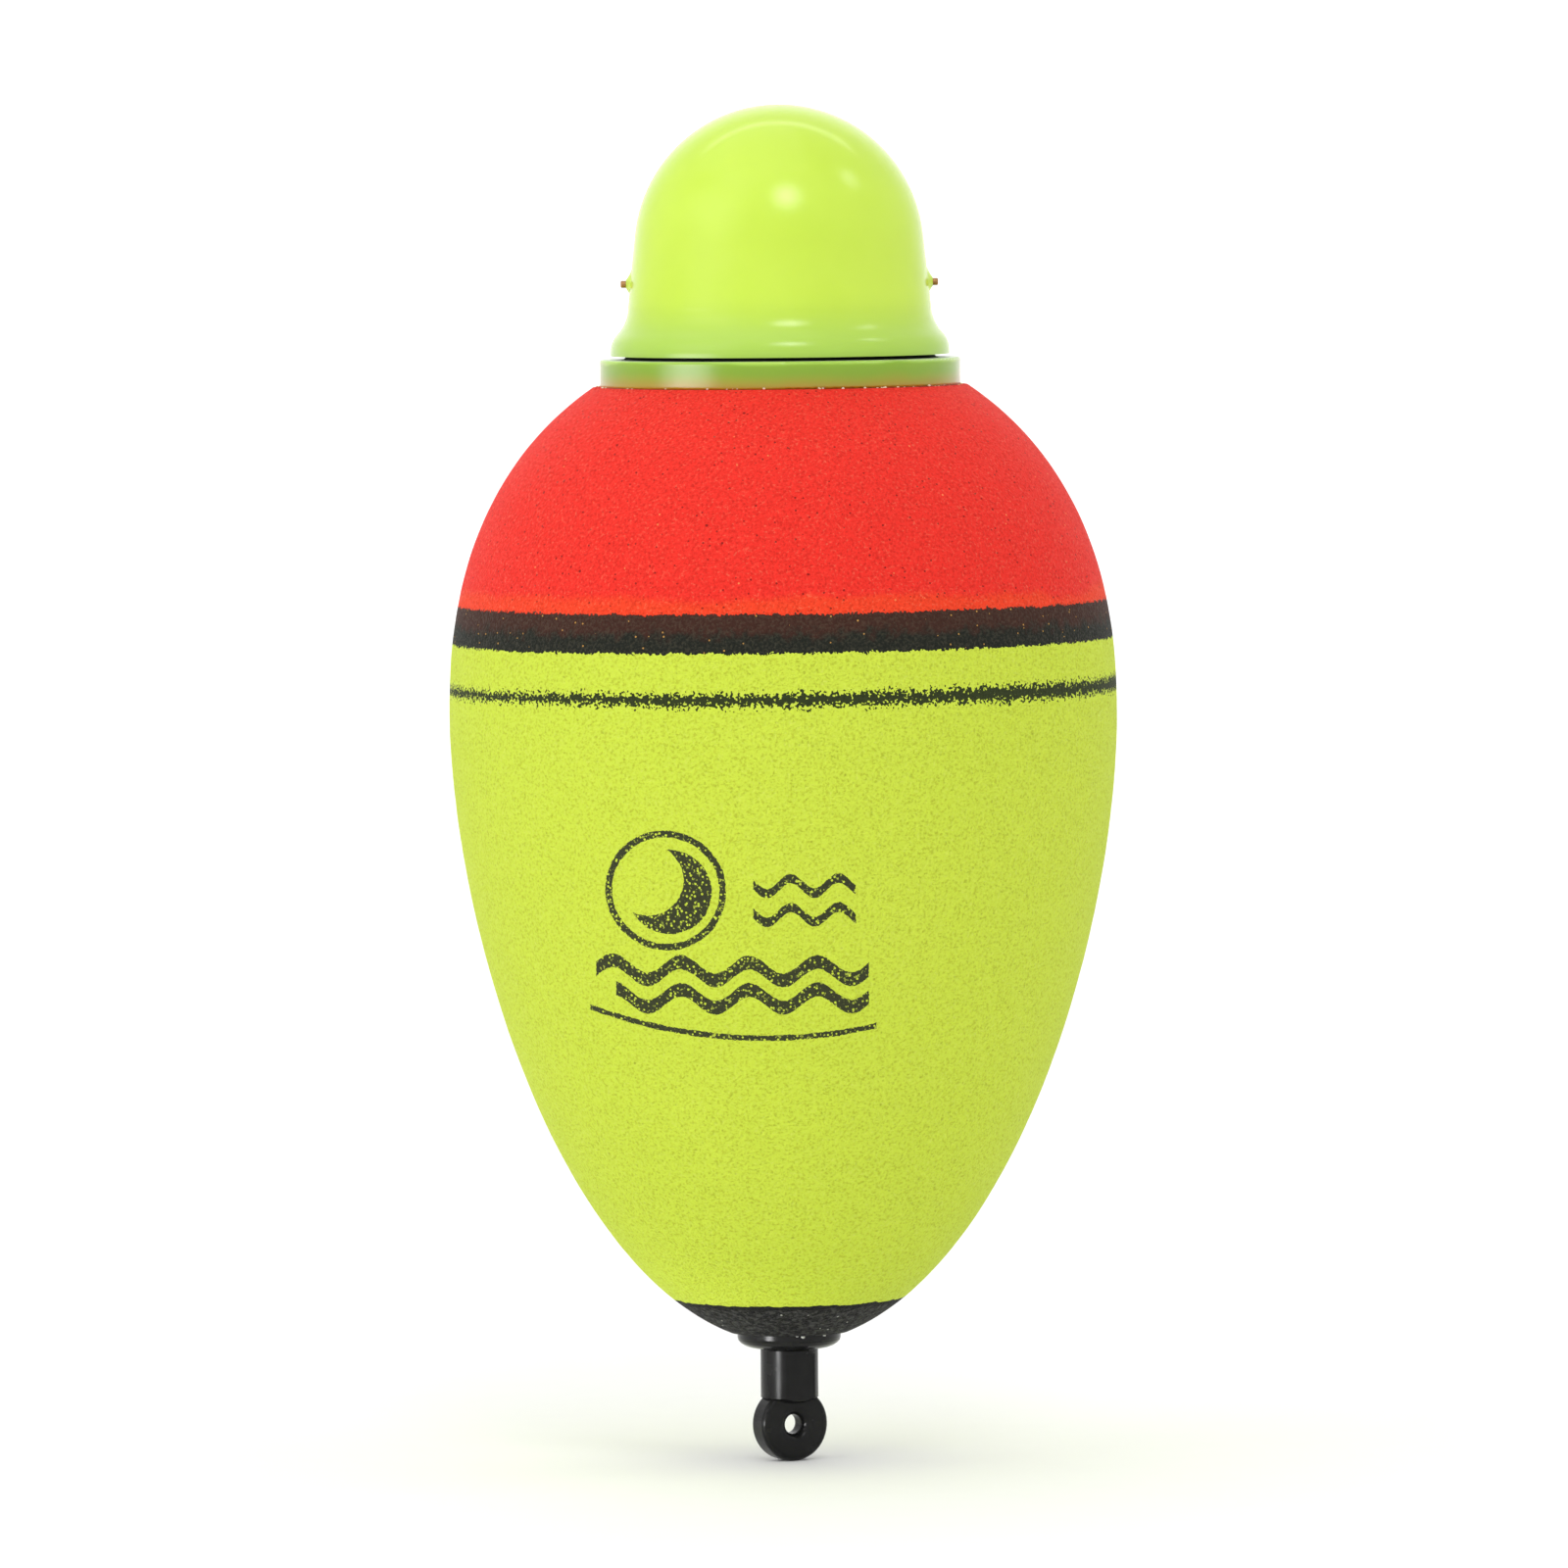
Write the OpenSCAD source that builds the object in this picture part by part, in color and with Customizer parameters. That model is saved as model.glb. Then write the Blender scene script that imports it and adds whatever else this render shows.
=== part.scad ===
// Lighted bobber float: a painted foam body on a core tube, a ballast ring, a swivelling
// line stem below and a screw-on lamp head above. Millimetres, +Z up, origin at the
// centre of the line eye.

/* [Foam body] */
// Greatest diameter of the foam body
body_d = 56; // [44:0.5:70]
// Height from the widest ring up to the foam's top face
body_above = 28.1; // [22:0.1:36]
// Depth from the widest ring down to the foam's lower end
body_below = 51.4; // [42:0.1:64]
// Fullness of the shoulder above the widest ring
shoulder_power = 2.42; // [1.8:0.02:3]
// Fullness of the long taper below the widest ring
tip_power = 1.68; // [1.4:0.02:2.2]
// Foam left showing round the collar on the top face
top_ledge = 0.6; // [0.2:0.1:2]
// Foam left showing round the stem bush at the tip
tip_ledge = 0.65; // [0.2:0.05:1.5]

/* [Line stem] */
// Outer diameter of the line eye
eye_d = 6.2; // [4.8:0.1:8]
// Thickness of the line eye
eye_t = 2.4; // [1.8:0.1:4]
// Diameter of the hole that takes the line
eye_hole_d = 1.6; // [1.2:0.1:2.6]
// Rounding at the mouths of the line hole
eye_mouth = 0.8; // [0.2:0.1:0.8]
// Rounding of the eye's outer edges
eye_edge = 0.5; // [0.2:0.1:0.8]
// Turn of the eye about the float's axis, in degrees
eye_turn = 28; // [-90:1:90]
// Diameter of the stem's shank
stem_d = 4.85; // [4:0.05:6]
// Distance across the two flats of the shank
stem_flats = 4; // [3.2:0.1:4.8]
// Height of the shank's shoulder above the eye's centre
stem_h = 6.3; // [5:0.1:9]
// Height of the full round collar at the top of the shank
stem_collar_h = 0.3; // [0.2:0.1:1]
// Diameter of the journal that turns in the bush
journal_d = 3.4; // [2.8:0.1:4.2]

/* [Stem bush] */
// Diameter of the bush's flange
bush_flange_d = 8.7; // [8.2:0.1:12]
// Thickness of the bush's flange
bush_flange_t = 1.4; // [1:0.1:2.4]
// Length of the bush above the foam's lower end
bush_h = 6.2; // [4.5:0.1:10]
// Outer diameter of the core tube
tube_d = 7.4; // [6.6:0.1:8]
// Inner diameter of the core tube, which the bush and the socket's spigot fill
tube_bore_d = 5.6; // [4.6:0.1:6.4]
// Diameter of the retaining screw's core
screw_core_d = 1.6; // [1.2:0.1:2]
// Length of the retaining screw's shank
screw_l = 6; // [4:0.5:7]
// Thickness of the thrust washer
washer_t = 0.5; // [0.3:0.1:1]

/* [Ballast] */
// Outer diameter of the ballast ring
ballast_d = 20; // [14:0.5:24]
// Height of the ballast ring
ballast_h = 19; // [12:0.5:30]
// Height of the ballast's seat above the foam's lower end
ballast_seat = 8.2; // [6:0.1:14]

/* [Coin cell] */
// Diameter of the coin cell
cell_d = 20; // [19:0.1:25]
// Thickness of the coin cell
cell_t = 3.2; // [2:0.1:4]
// Travel that frees the cell from its carrier
cell_travel = 4; // [2:0.1:5]

/* [Lamp head] */
// Height of the lamp dome above its seat
dome_h = 20.95; // [18:0.05:28]
// Thickness of the dome's skin at its waist
dome_skin = 1.85; // [1.3:0.05:2.6]
// Taper of the dome's barrel, in degrees
dome_draft = 6; // [1:0.5:8]
// How far the skirt stands out past the waist
skirt_out = 1.5; // [1:0.1:2.2]
// Height of the skirt's straight rim
skirt_rim = 0.34; // [0.2:0.02:1]
// Radius of the skirt's outward round
skirt_round = 2.12; // [1:0.02:3]
// Radius of the hollow curve between skirt and waist
waist_round = 3.33; // [2:0.01:5]
// Wall of the threaded spigot, to the thread's root
spigot_wall = 1.15; // [0.9:0.05:1.6]
// Length of the spigot below the dome's seat
spigot_h = 7; // [5.8:0.1:9]
// Diameter of the two water contact pins
pin_d = 0.6; // [0.5:0.05:1]
// Height of the contact pins above the dome's seat
pin_h = 6; // [5:0.1:7.2]
// Reach of a pin's tip past the dome's waist
pin_out = 0.6; // [0.4:0.05:1.2]

/* [Lamp socket] */
// Thread pitch
pitch = 2; // [1.6:0.1:2.6]
// Height of the thread's ridge
thread_depth = 0.6; // [0.4:0.05:0.8]
// Wall of the socket outside its bore
socket_wall = 1.15; // [0.9:0.05:1.6]
// Thickness of the collar that lies on the foam
collar_t = 2.3; // [1.8:0.1:3.5]
// How far the collar stands out past the socket's tube
collar_lip = 1.2; // [0.8:0.1:2]
// Thickness of the socket's floor
floor_t = 1.2; // [0.8:0.1:2]
// Diameter of the seal ring's section
seal_d = 1.2; // [1:0.05:1.6]
// Gap that the seal holds open between skirt and collar
seal_gap = 0.3; // [0.2:0.05:0.5]

/* [Circuit board] */
// Thickness of the board
board_t = 1.2; // [0.8:0.1:1.6]
// Diameter of a lamp's body
led_d = 5; // [3:0.1:5.4]
// Height of a lamp above its foot
led_h = 8.6; // [5:0.1:9]
// Distance of the lamps from the axis
led_ring_r = 4.6; // [4.2:0.1:5.2]
// Diameter of the carrier screws' core
carrier_screw_d = 1.5; // [1.2:0.1:1.8]

/* [Hidden] */
$fn = 96;

// Clearances
running = 0.05;        // radial, journal in bush
swivel_gap = 0.1;      // axial, shank to flange and washer to bush
fit = 0.15;            // radial, between pieces that slot together
seat_gap = 0.02;       // a seal or a spring that only just touches
cut = 1;               // how far a cutting tool runs past the face that it cuts

// Colours
lime = [0.80, 0.93, 0.25];
foam_lime = [0.82, 0.95, 0.28];
black = [0.10, 0.10, 0.10];
brass = [0.72, 0.50, 0.25];
steel = [0.72, 0.72, 0.73];
white = [0.92, 0.92, 0.90];

// Heights of the stem and the foam
flange_z = stem_h + swivel_gap;
tip_z = flange_z + bush_flange_t;
wide_z = tip_z + body_below;
top_z = wide_z + body_above;
bush_top_z = tip_z + bush_h;
journal_top_z = bush_top_z + swivel_gap;
ballast_z = tip_z + ballast_seat;
ballast_top_z = ballast_z + ballast_h;

// Radii of the lamp head, from the cell outwards
cell_r = cell_d / 2;
carrier_wall = 0.55;
carrier_in_r = cell_r + fit;
carrier_r = carrier_in_r + carrier_wall;
cavity_r = carrier_r + fit;
spigot_r = cavity_r + spigot_wall;
thread_r = spigot_r + thread_depth;
socket_bore_r = thread_r + fit;
socket_r = socket_bore_r + socket_wall;
collar_r = socket_r + collar_lip;
waist_r = cavity_r + dome_skin;
skirt_r = waist_r + skirt_out;
seal_seat_r = spigot_r + seal_d + fit;

// Heights of the socket and the dome
collar_z = top_z + collar_t;
dome_z = collar_z + seal_gap;
spigot_z = dome_z - spigot_h;
seal_seat_z = dome_z - seal_d;
waist_h = skirt_rim + sqrt(skirt_out * (2 * (skirt_round + waist_round) - skirt_out));
dome_r = (waist_r * cos(dome_draft) - (dome_h - waist_h) * sin(dome_draft)) / (1 - sin(dome_draft));
dome_centre_z = dome_z + dome_h - dome_r;
pin_z = dome_z + pin_h;
pin_tip_r = waist_r + pin_out;

// Heights of the cell, its carrier and the board
cell_above_spigot = 1.7;
spring_h = 0.6;
plate_t = 1.4;
board_gap = 1.2;
cell_z = spigot_z + cell_above_spigot;
plate_z = cell_z + cell_t + spring_h;
board_z = plate_z + plate_t + board_gap;
board_top_z = board_z + board_t;
floor_z = cell_z - cell_travel - 0.8;
socket_foot_z = floor_z - floor_t;
plug_h = 5;            // socket's plug inside the core tube

// Foam outline: a superellipse above and another below the widest ring
body_r = body_d / 2;
top_r = collar_r + top_ledge;
tip_r = bush_flange_d / 2 + tip_ledge;
shoulder_reach = body_above / pow(1 - pow(top_r / body_r, 2), 1 / shoulder_power);
tip_reach = body_below / pow(1 - pow(tip_r / body_r, 2), 1 / tip_power);
shoulder_steps = 28;
tip_steps = 44;

// Foam radius at height h over the widest ring
function foam_r(h) = body_r * sqrt(1 - (h > 0
    ? pow(h / shoulder_reach, shoulder_power)
    : pow(-h / tip_reach, tip_power)));

// Thread
thread_root_w = 0.55 * pitch;      // ridge width where it leaves the wall
thread_crest_w = 0.25 * pitch;
thread_sink = 0.2;     // how far a ridge is rooted in its wall
thread_steps = 36;     // facets in a turn
thread_lead = 1;       // plain end of the spigot below its thread
thread_seal_gap = 0.2; // between the thread's end and the seal's seat
outer_thread_z = spigot_z + thread_lead;
outer_turns = (seal_seat_z - thread_seal_gap - thread_root_w / 2 - outer_thread_z) / pitch;
inner_thread_z = outer_thread_z + pitch / 2;
inner_turns = outer_turns - 0.5;

// Rectangle from the axis with its two outer corners rounded, for turned pieces
module rounded_end(r, h, round) {
    square([r - round, h]);
    translate([0, round]) square([r, h - 2 * round]);
    for (y = [round, h - round]) translate([r - round, y]) circle(round);
}

// One ridge of a screw thread. from_r and to_r are the ridge's root and crest
module thread_ridge(from_r, to_r, z, turns) {
    steps = round(turns * thread_steps);
    outline = [
        [from_r, -thread_root_w / 2], [to_r, -thread_crest_w / 2],
        [to_r, thread_crest_w / 2], [from_r, thread_root_w / 2]
    ];
    points = [
        for (i = [0 : steps]) let (a = 360 * i / thread_steps)
            for (p = outline) [p[0] * cos(a), p[0] * sin(a), z + p[1] + pitch * a / 360]
    ];
    walls = [
        for (i = [0 : steps - 1]) for (k = [0 : 3])
            let (a = 4 * i + k, b = 4 * i + (k + 1) % 4)
                each [[a, a + 4, b + 4], [a, b + 4, b]]
    ];
    ends = [[0, 1, 2], [0, 2, 3], [4 * steps + 2, 4 * steps + 1, 4 * steps],
            [4 * steps + 3, 4 * steps + 2, 4 * steps]];
    outward = to_r > from_r;
    faces = concat(walls, ends);
    polyhedron(points, outward ? [for (f = faces) [f[2], f[1], f[0]]] : faces);
}

// ---------------------------------------------------------------- foam and core

module foam_outline() {
    polygon([
        [0, tip_z],
        for (i = [tip_steps : -1 : 1]) let (h = -body_below * sin(90 * i / tip_steps))
            [foam_r(h), wide_z + h],
        for (i = [0 : shoulder_steps]) let (h = body_above * i / shoulder_steps)
            [foam_r(h), wide_z + h],
        [0, top_z]
    ]);
}

module foam_body() {
    color(foam_lime) difference() {
        rotate_extrude() foam_outline();
        translate([0, 0, tip_z - cut]) cylinder(d = tube_d, h = ballast_seat + 2 * cut);
        translate([0, 0, ballast_z]) cylinder(d = ballast_d, h = top_z - ballast_z);
        translate([0, 0, socket_foot_z]) cylinder(r = socket_r, h = top_z - socket_foot_z + cut);
    }
}

module foam_plug() {
    color(white) translate([0, 0, ballast_top_z]) difference() {
        cylinder(d = ballast_d, h = socket_foot_z - ballast_top_z);
        translate([0, 0, -cut]) cylinder(d = tube_d, h = socket_foot_z - ballast_top_z + 2 * cut);
    }
}

module ballast_ring() {
    chamfer = 0.8;
    color([0.36, 0.36, 0.38]) translate([0, 0, ballast_z]) rotate_extrude() polygon([
        [tube_d / 2, 0], [ballast_d / 2 - chamfer, 0], [ballast_d / 2, chamfer],
        [ballast_d / 2, ballast_h - chamfer], [ballast_d / 2 - chamfer, ballast_h],
        [tube_d / 2, ballast_h]
    ]);
}

module core_tube() {
    length = socket_foot_z - tip_z;
    color(white) translate([0, 0, tip_z]) difference() {
        cylinder(d = tube_d, h = length);
        translate([0, 0, -cut]) cylinder(d = tube_bore_d, h = length + 2 * cut);
    }
}

// ---------------------------------------------------------------- bush and line stem

module stem_bush() {
    rim = 0.45;        // straight part of the flange's edge
    foot_d = stem_d;   // the underside's flat round the stem
    drop = bush_flange_t - rim;
    reach = (bush_flange_d - foot_d) / 2;
    color(black) difference() {
        rotate_extrude() {
            translate([0, tip_z - rim]) square([bush_flange_d / 2, rim]);
            // a shallow arc carries the flange down to its flat
            polygon([
                [0, flange_z], [foot_d / 2, flange_z],
                for (a = [15 : 15 : 90]) [foot_d / 2 + reach * sin(a), tip_z - rim - drop * cos(a)],
                [0, tip_z - rim]
            ]);
            translate([0, tip_z]) square([tube_bore_d / 2, bush_h]);
        }
        translate([0, 0, flange_z - cut])
            cylinder(d = journal_d + 2 * running, h = bush_top_z - flange_z + 2 * cut);
    }
}

module eye_outline() {
    half = eye_t / 2;
    hole_r = eye_hole_d / 2;
    translate([hole_r, eye_mouth - half]) square([eye_mouth, eye_t - 2 * eye_mouth]);
    translate([hole_r + eye_mouth, -half]) square([eye_d / 2 - hole_r - eye_mouth - eye_edge, eye_t]);
    translate([eye_d / 2 - eye_edge, eye_edge - half]) square([eye_edge, eye_t - 2 * eye_edge]);
    for (side = [-1, 1]) {
        translate([hole_r + eye_mouth, side * (half - eye_mouth)]) circle(eye_mouth);
        translate([eye_d / 2 - eye_edge, side * (half - eye_edge)]) circle(eye_edge);
    }
}

module line_stem() {
    shank_foot_z = eye_hole_d / 2 + eye_mouth;     // the shank's round end starts above the hole's mouth
    foot_round = 4.7;
    pilot_h = screw_l + 0.5;
    color(black) rotate([0, 0, eye_turn]) difference() {
        union() {
            rotate([90, 0, 0]) rotate_extrude() eye_outline();
            intersection() {
                difference() {
                    translate([0, 0, shank_foot_z]) cylinder(d = stem_d, h = stem_h - shank_foot_z);
                    for (side = [-1, 1])
                        translate([-stem_d, side * (stem_flats + stem_d) / 2 - stem_d / 2, 0])
                            cube([2 * stem_d, stem_d, stem_h - stem_collar_h]);
                }
                translate([0, 0, shank_foot_z + foot_round]) sphere(foot_round);
            }
            translate([0, 0, stem_h - stem_collar_h])
                cylinder(d = journal_d, h = journal_top_z - stem_h + stem_collar_h);
        }
        translate([0, 0, journal_top_z - pilot_h]) cylinder(d = screw_core_d, h = pilot_h + cut);
    }
}

module thrust_washer() {
    color(steel) translate([0, 0, journal_top_z]) difference() {
        cylinder(d = tube_bore_d - 4 * fit, h = washer_t);
        translate([0, 0, -cut]) cylinder(d = screw_core_d + fit, h = washer_t + 2 * cut);
    }
}

// Pan-head screw that points down from its head's underside at z = 0, with a cross recess
module pan_screw(core_d, length, head_d, head_t) {
    slot_w = core_d * 0.28;
    difference() {
        union() {
            rotate_extrude() intersection() {
                rounded_end(head_d / 2, head_t * 2, head_t * 0.6);
                square([head_d, head_t]);
            }
            translate([0, 0, -length]) cylinder(d = core_d, h = length + head_t / 2);
        }
        for (turn = [0, 90]) rotate([0, 0, turn])
            translate([-head_d * 0.3, -slot_w / 2, head_t * 0.45]) cube([head_d * 0.6, slot_w, head_t]);
    }
}

module retaining_screw() {
    color(steel) translate([0, 0, journal_top_z + washer_t]) pan_screw(screw_core_d, screw_l, 3.8, 1.3);
}

// ---------------------------------------------------------------- lamp socket and seal

module lamp_socket() {
    color(lime) union() {
        difference() {
            union() {
                translate([0, 0, socket_foot_z]) cylinder(r = socket_r, h = top_z - socket_foot_z);
                translate([0, 0, top_z]) rotate_extrude() rounded_end(collar_r, collar_t, 0.2);
                translate([0, 0, socket_foot_z - plug_h]) cylinder(d = tube_bore_d, h = plug_h + floor_t);
            }
            translate([0, 0, floor_z]) cylinder(r = socket_bore_r, h = collar_z - floor_z + cut);
            translate([0, 0, seal_seat_z]) cylinder(r = seal_seat_r, h = collar_z - seal_seat_z + cut);
        }
        thread_ridge(socket_bore_r + thread_sink, socket_bore_r - thread_depth, inner_thread_z, inner_turns);
    }
}

module seal_ring() {
    color(black) translate([0, 0, dome_z - seal_d / 2]) rotate_extrude()
        translate([spigot_r + seal_d / 2 + seat_gap, 0]) circle(seal_d / 2 - seat_gap);
}

// ---------------------------------------------------------------- lamp dome

// Half of the dome's outer outline, from its seat up
module dome_outline() {
    reach = skirt_round + waist_round;
    turn = asin((waist_h - skirt_rim) / reach);     // slope of the line that joins the two centres
    touch = [skirt_r - skirt_round * (1 - cos(turn)), skirt_rim + skirt_round * sin(turn)];
    centre_h = dome_h - dome_r;
    shoulder = [dome_r * cos(dome_draft), centre_h + dome_r * sin(dome_draft)];
    square([skirt_r, skirt_rim]);
    intersection() {
        translate([skirt_r - skirt_round, skirt_rim]) circle(skirt_round);
        translate([0, skirt_rim]) square([skirt_r, skirt_round]);
    }
    square([skirt_r - skirt_round, waist_h]);
    difference() {
        translate([0, touch[1]]) square([touch[0], waist_h - touch[1]]);
        translate([waist_r + waist_round, waist_h]) circle(waist_round);
    }
    polygon([[0, waist_h], [waist_r, waist_h], shoulder, [0, shoulder[1]]]);
    intersection() {
        translate([0, centre_h]) circle(dome_r);
        translate([0, shoulder[1]]) square([dome_r, dome_r]);
    }
}

// Flared nipple round a contact pin, along +X from the axis
module pin_nipple() {
    tip_radius = pin_d / 2 + 0.06;
    foot_radius = 2.3;
    tip_x = pin_tip_r - 0.45;
    foot_x = waist_r - (pin_h + foot_radius - waist_h) * tan(dome_draft) - 0.06;
    step = foot_radius - tip_radius;
    rise = tip_x - foot_x;
    flare = (step * step + rise * rise) / (2 * rise);
    root = 0.9;        // how far it runs into the dome's skin
    translate([foot_x - root, 0, pin_z]) rotate([0, 90, 0]) rotate_extrude() difference() {
        square([foot_radius, rise + root]);
        translate([foot_radius, root + flare]) circle(flare);
    }
}

boss_r = carrier_screw_d / 2 + 0.95;   // carrier screw bosses in the dome
boss_h = 4.3;
boss_ring_r = cavity_r - boss_r - 0.25;
rib_in = 0.95;         // how far a board rib stands in from the cavity's wall

module lamp_dome() {
    color(lime) union() {
        difference() {
            union() {
                translate([0, 0, dome_z]) rotate_extrude() dome_outline();
                translate([0, 0, spigot_z]) cylinder(r = spigot_r, h = spigot_h + skirt_rim);
                for (side = [0, 180]) rotate([0, 0, side]) pin_nipple();
            }
            translate([0, 0, spigot_z - cut]) cylinder(r = cavity_r, h = dome_centre_z - spigot_z + cut);
            translate([0, 0, dome_centre_z]) sphere(cavity_r);
            for (side = [0, 180]) rotate([0, 0, side])
                translate([cavity_r - cut, 0, pin_z]) rotate([0, 90, 0]) cylinder(d = pin_d, h = 5);
        }
        for (turn = [90, 270]) rotate([0, 0, turn]) difference() {
            union() {
                translate([boss_ring_r, 0, board_top_z]) cylinder(r = boss_r, h = boss_h);
                translate([boss_ring_r, -boss_r / 2, board_top_z])
                    cube([cavity_r - boss_ring_r + dome_skin / 4, boss_r, boss_h]);
            }
            translate([boss_ring_r, 0, board_top_z - cut]) cylinder(d = carrier_screw_d, h = boss_h);
        }
        for (turn = [45 : 90 : 315]) rotate([0, 0, turn])
            translate([cavity_r - rib_in, -0.6, board_top_z]) cube([rib_in + dome_skin / 4, 1.2, boss_h]);
        thread_ridge(spigot_r - thread_sink, thread_r, outer_thread_z, outer_turns);
    }
}

// ---------------------------------------------------------------- water contacts

shoulder_x = cavity_r - 0.45;      // inner face of a pin's shoulder
pin_end_x = cavity_r - 1.15;       // inner end of a pin

// Brass pin along +X from the axis, its shoulder against the dome's wall
module contact_pin() {
    translate([pin_end_x, 0, pin_z]) rotate([0, 90, 0]) rotate_extrude() {
        translate([0, shoulder_x - pin_end_x]) square([0.8, cavity_r - 0.03 - shoulder_x]);
        difference() {
            square([pin_d / 2, pin_tip_r - pin_end_x]);
            translate([pin_d / 2 - 0.12, pin_tip_r - pin_end_x - 0.12]) square(0.5);
        }
        translate([pin_d / 2 - 0.12, pin_tip_r - pin_end_x - 0.12])
            intersection() { circle(0.12); square(0.5); }
    }
}

module contact_pin_left() {
    color(brass) rotate([0, 0, 180]) contact_pin();
}

module contact_pin_right() {
    color(brass) contact_pin();
}

spring_bend = 0.6;                 // outer radius of a contact spring's bend
spring_foot = 1.6;                 // length of its foot on the board
spring_foot_x = pin_end_x - spring_bend - spring_foot;

// Leaf spring on the board that bears on a pin's inner end, along +X
module contact_spring() {
    leaf_t = 0.25;
    leaf_w = 2;
    top = pin_z - board_top_z + 1.2;
    translate([pin_end_x, leaf_w / 2, board_top_z]) rotate([90, 0, 0]) linear_extrude(leaf_w) {
        translate([-leaf_t, spring_bend]) square([leaf_t, top - spring_bend]);
        translate([-spring_bend - spring_foot, 0]) square([spring_foot, leaf_t]);
        intersection() {
            translate([-spring_bend, spring_bend]) difference() {
                circle(spring_bend);
                circle(spring_bend - leaf_t);
            }
            translate([-spring_bend, 0]) square(spring_bend);
        }
    }
}

module contact_spring_left() {
    color(brass) rotate([0, 0, 180]) contact_spring();
}

module contact_spring_right() {
    color(brass) contact_spring();
}

// ---------------------------------------------------------------- board and its parts

led_lead_pitch = 2.54;
led_lead_w = 0.5;
led_stand = 0.8;       // foot of a lamp above the board
lead_tail = 0.5;       // lead left below the board
led_flange_d = led_d + 0.8;

// The two leads of each of the three lamps, at a given turn
module at_leads(turn) {
    for (side = [-1, 1]) rotate([0, 0, turn])
        translate([led_ring_r, side * led_lead_pitch / 2, 0]) children();
}

module circuit_board() {
    color([0.10, 0.38, 0.20]) difference() {
        translate([0, 0, board_z]) cylinder(r = carrier_r - 0.1, h = board_t);
        for (turn = [90, 270]) rotate([0, 0, turn])
            translate([boss_ring_r, 0, board_z - cut]) cylinder(d = carrier_screw_d + 2 * fit, h = board_t + 2 * cut);
        for (turn = [0, 120, 240]) at_leads(turn)
            translate([0, 0, board_z - cut]) cylinder(d = led_lead_w * 1.5, h = board_t + 2 * cut);
    }
}

module led(turn) {
    base = 1;          // height of the lamp's flange
    rotate([0, 0, turn]) translate([led_ring_r, 0, board_top_z + led_stand]) rotate_extrude() {
        square([led_flange_d / 2, base]);
        square([led_d / 2, led_h - led_d / 2]);
        intersection() {
            translate([0, led_h - led_d / 2]) circle(led_d / 2);
            translate([0, led_h - led_d / 2]) square(led_d);
        }
    }
}

module led_1() {
    color([0.85, 0.20, 0.20]) led(0);
}

module led_2() {
    color([0.25, 0.75, 0.30]) led(120);
}

module led_3() {
    color([0.25, 0.40, 0.85]) led(240);
}

module led_leads() {
    color(steel) for (turn = [0, 120, 240]) at_leads(turn)
        translate([-led_lead_w / 2, -led_lead_w / 2, board_z - lead_tail])
            cube([led_lead_w, led_lead_w, lead_tail + board_t + led_stand]);
}

module driver_blob() {
    base_r = 2.4;
    drop = 0.8;
    ball_r = (base_r * base_r + drop * drop) / (2 * drop);
    color(black) intersection() {
        translate([0, 0, board_z - drop + ball_r]) sphere(ball_r);
        translate([0, 0, board_z - drop]) cylinder(r = base_r + cut, h = drop);
    }
}

module chip_resistors() {
    size = [1.25, 2, 0.5];
    color([0.12, 0.12, 0.14]) for (r = [4.6, 6.4, 8.2]) rotate([0, 0, 60])
        translate([r - size[0] / 2, -size[1] / 2, board_top_z]) cube(size);
}

module sensor_transistor() {
    size = [1.3, 2.9, 1];
    color([0.12, 0.12, 0.14]) rotate([0, 0, 180])
        translate([spring_foot_x - 0.5 - size[0], -size[1] / 2, board_top_z]) cube(size);
}

// ---------------------------------------------------------------- cell carrier

strip_w = 3;           // positive contact
strip_t = 0.3;
strip_turn = 135;

module cell_carrier() {
    screw_head_d = 2 * carrier_screw_d;
    skirt_foot = 0.2;  // how far the skirt hangs below the cell
    color(white) difference() {
        union() {
            translate([0, 0, plate_z]) cylinder(r = carrier_r, h = plate_t);
            translate([0, 0, cell_z - skirt_foot]) difference() {
                cylinder(r = carrier_r, h = cell_t + spring_h + skirt_foot + plate_t / 2);
                translate([0, 0, -cut]) cylinder(r = carrier_in_r, h = cell_t + spring_h + skirt_foot + cut);
            }
            for (turn = [90, 270]) rotate([0, 0, turn])
                translate([boss_ring_r, 0, plate_z]) cylinder(r = boss_r, h = plate_t + board_gap);
        }
        for (turn = [90, 270]) rotate([0, 0, turn]) translate([boss_ring_r, 0, plate_z]) {
            translate([0, 0, -cut]) cylinder(d = carrier_screw_d + 2 * fit, h = plate_t + board_gap + 2 * cut);
            translate([0, 0, -cut]) cylinder(d = screw_head_d + fit, h = cut + 0.7);
        }
        // slot for the positive strip and for its notch in the plate
        rotate([0, 0, strip_turn]) translate([cell_r - 0.05, -strip_w / 2 - fit, cell_z - cut])
            cube([3, strip_w + 2 * fit, plate_z - cell_z + plate_t + 2 * cut]);
        // slot for the negative tab
        rotate([0, 0, 60]) translate([3.55, -0.9, plate_z - cut]) cube([0.6, 1.8, plate_t + 2 * cut]);
        // finger notches for lifting the cell out
        for (turn = [0, 180]) rotate([0, 0, turn])
            translate([cell_r - 1, 0, cell_z - 1]) rotate([0, 90, 0]) cylinder(r = 2.4, h = 4);
    }
}

module positive_contact() {
    foot_z = cell_z + 0.4;
    color(steel) rotate([0, 0, strip_turn]) translate([cell_r + 0.03, -strip_w / 2, foot_z])
        cube([strip_t, strip_w, board_z - foot_z]);
}

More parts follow.
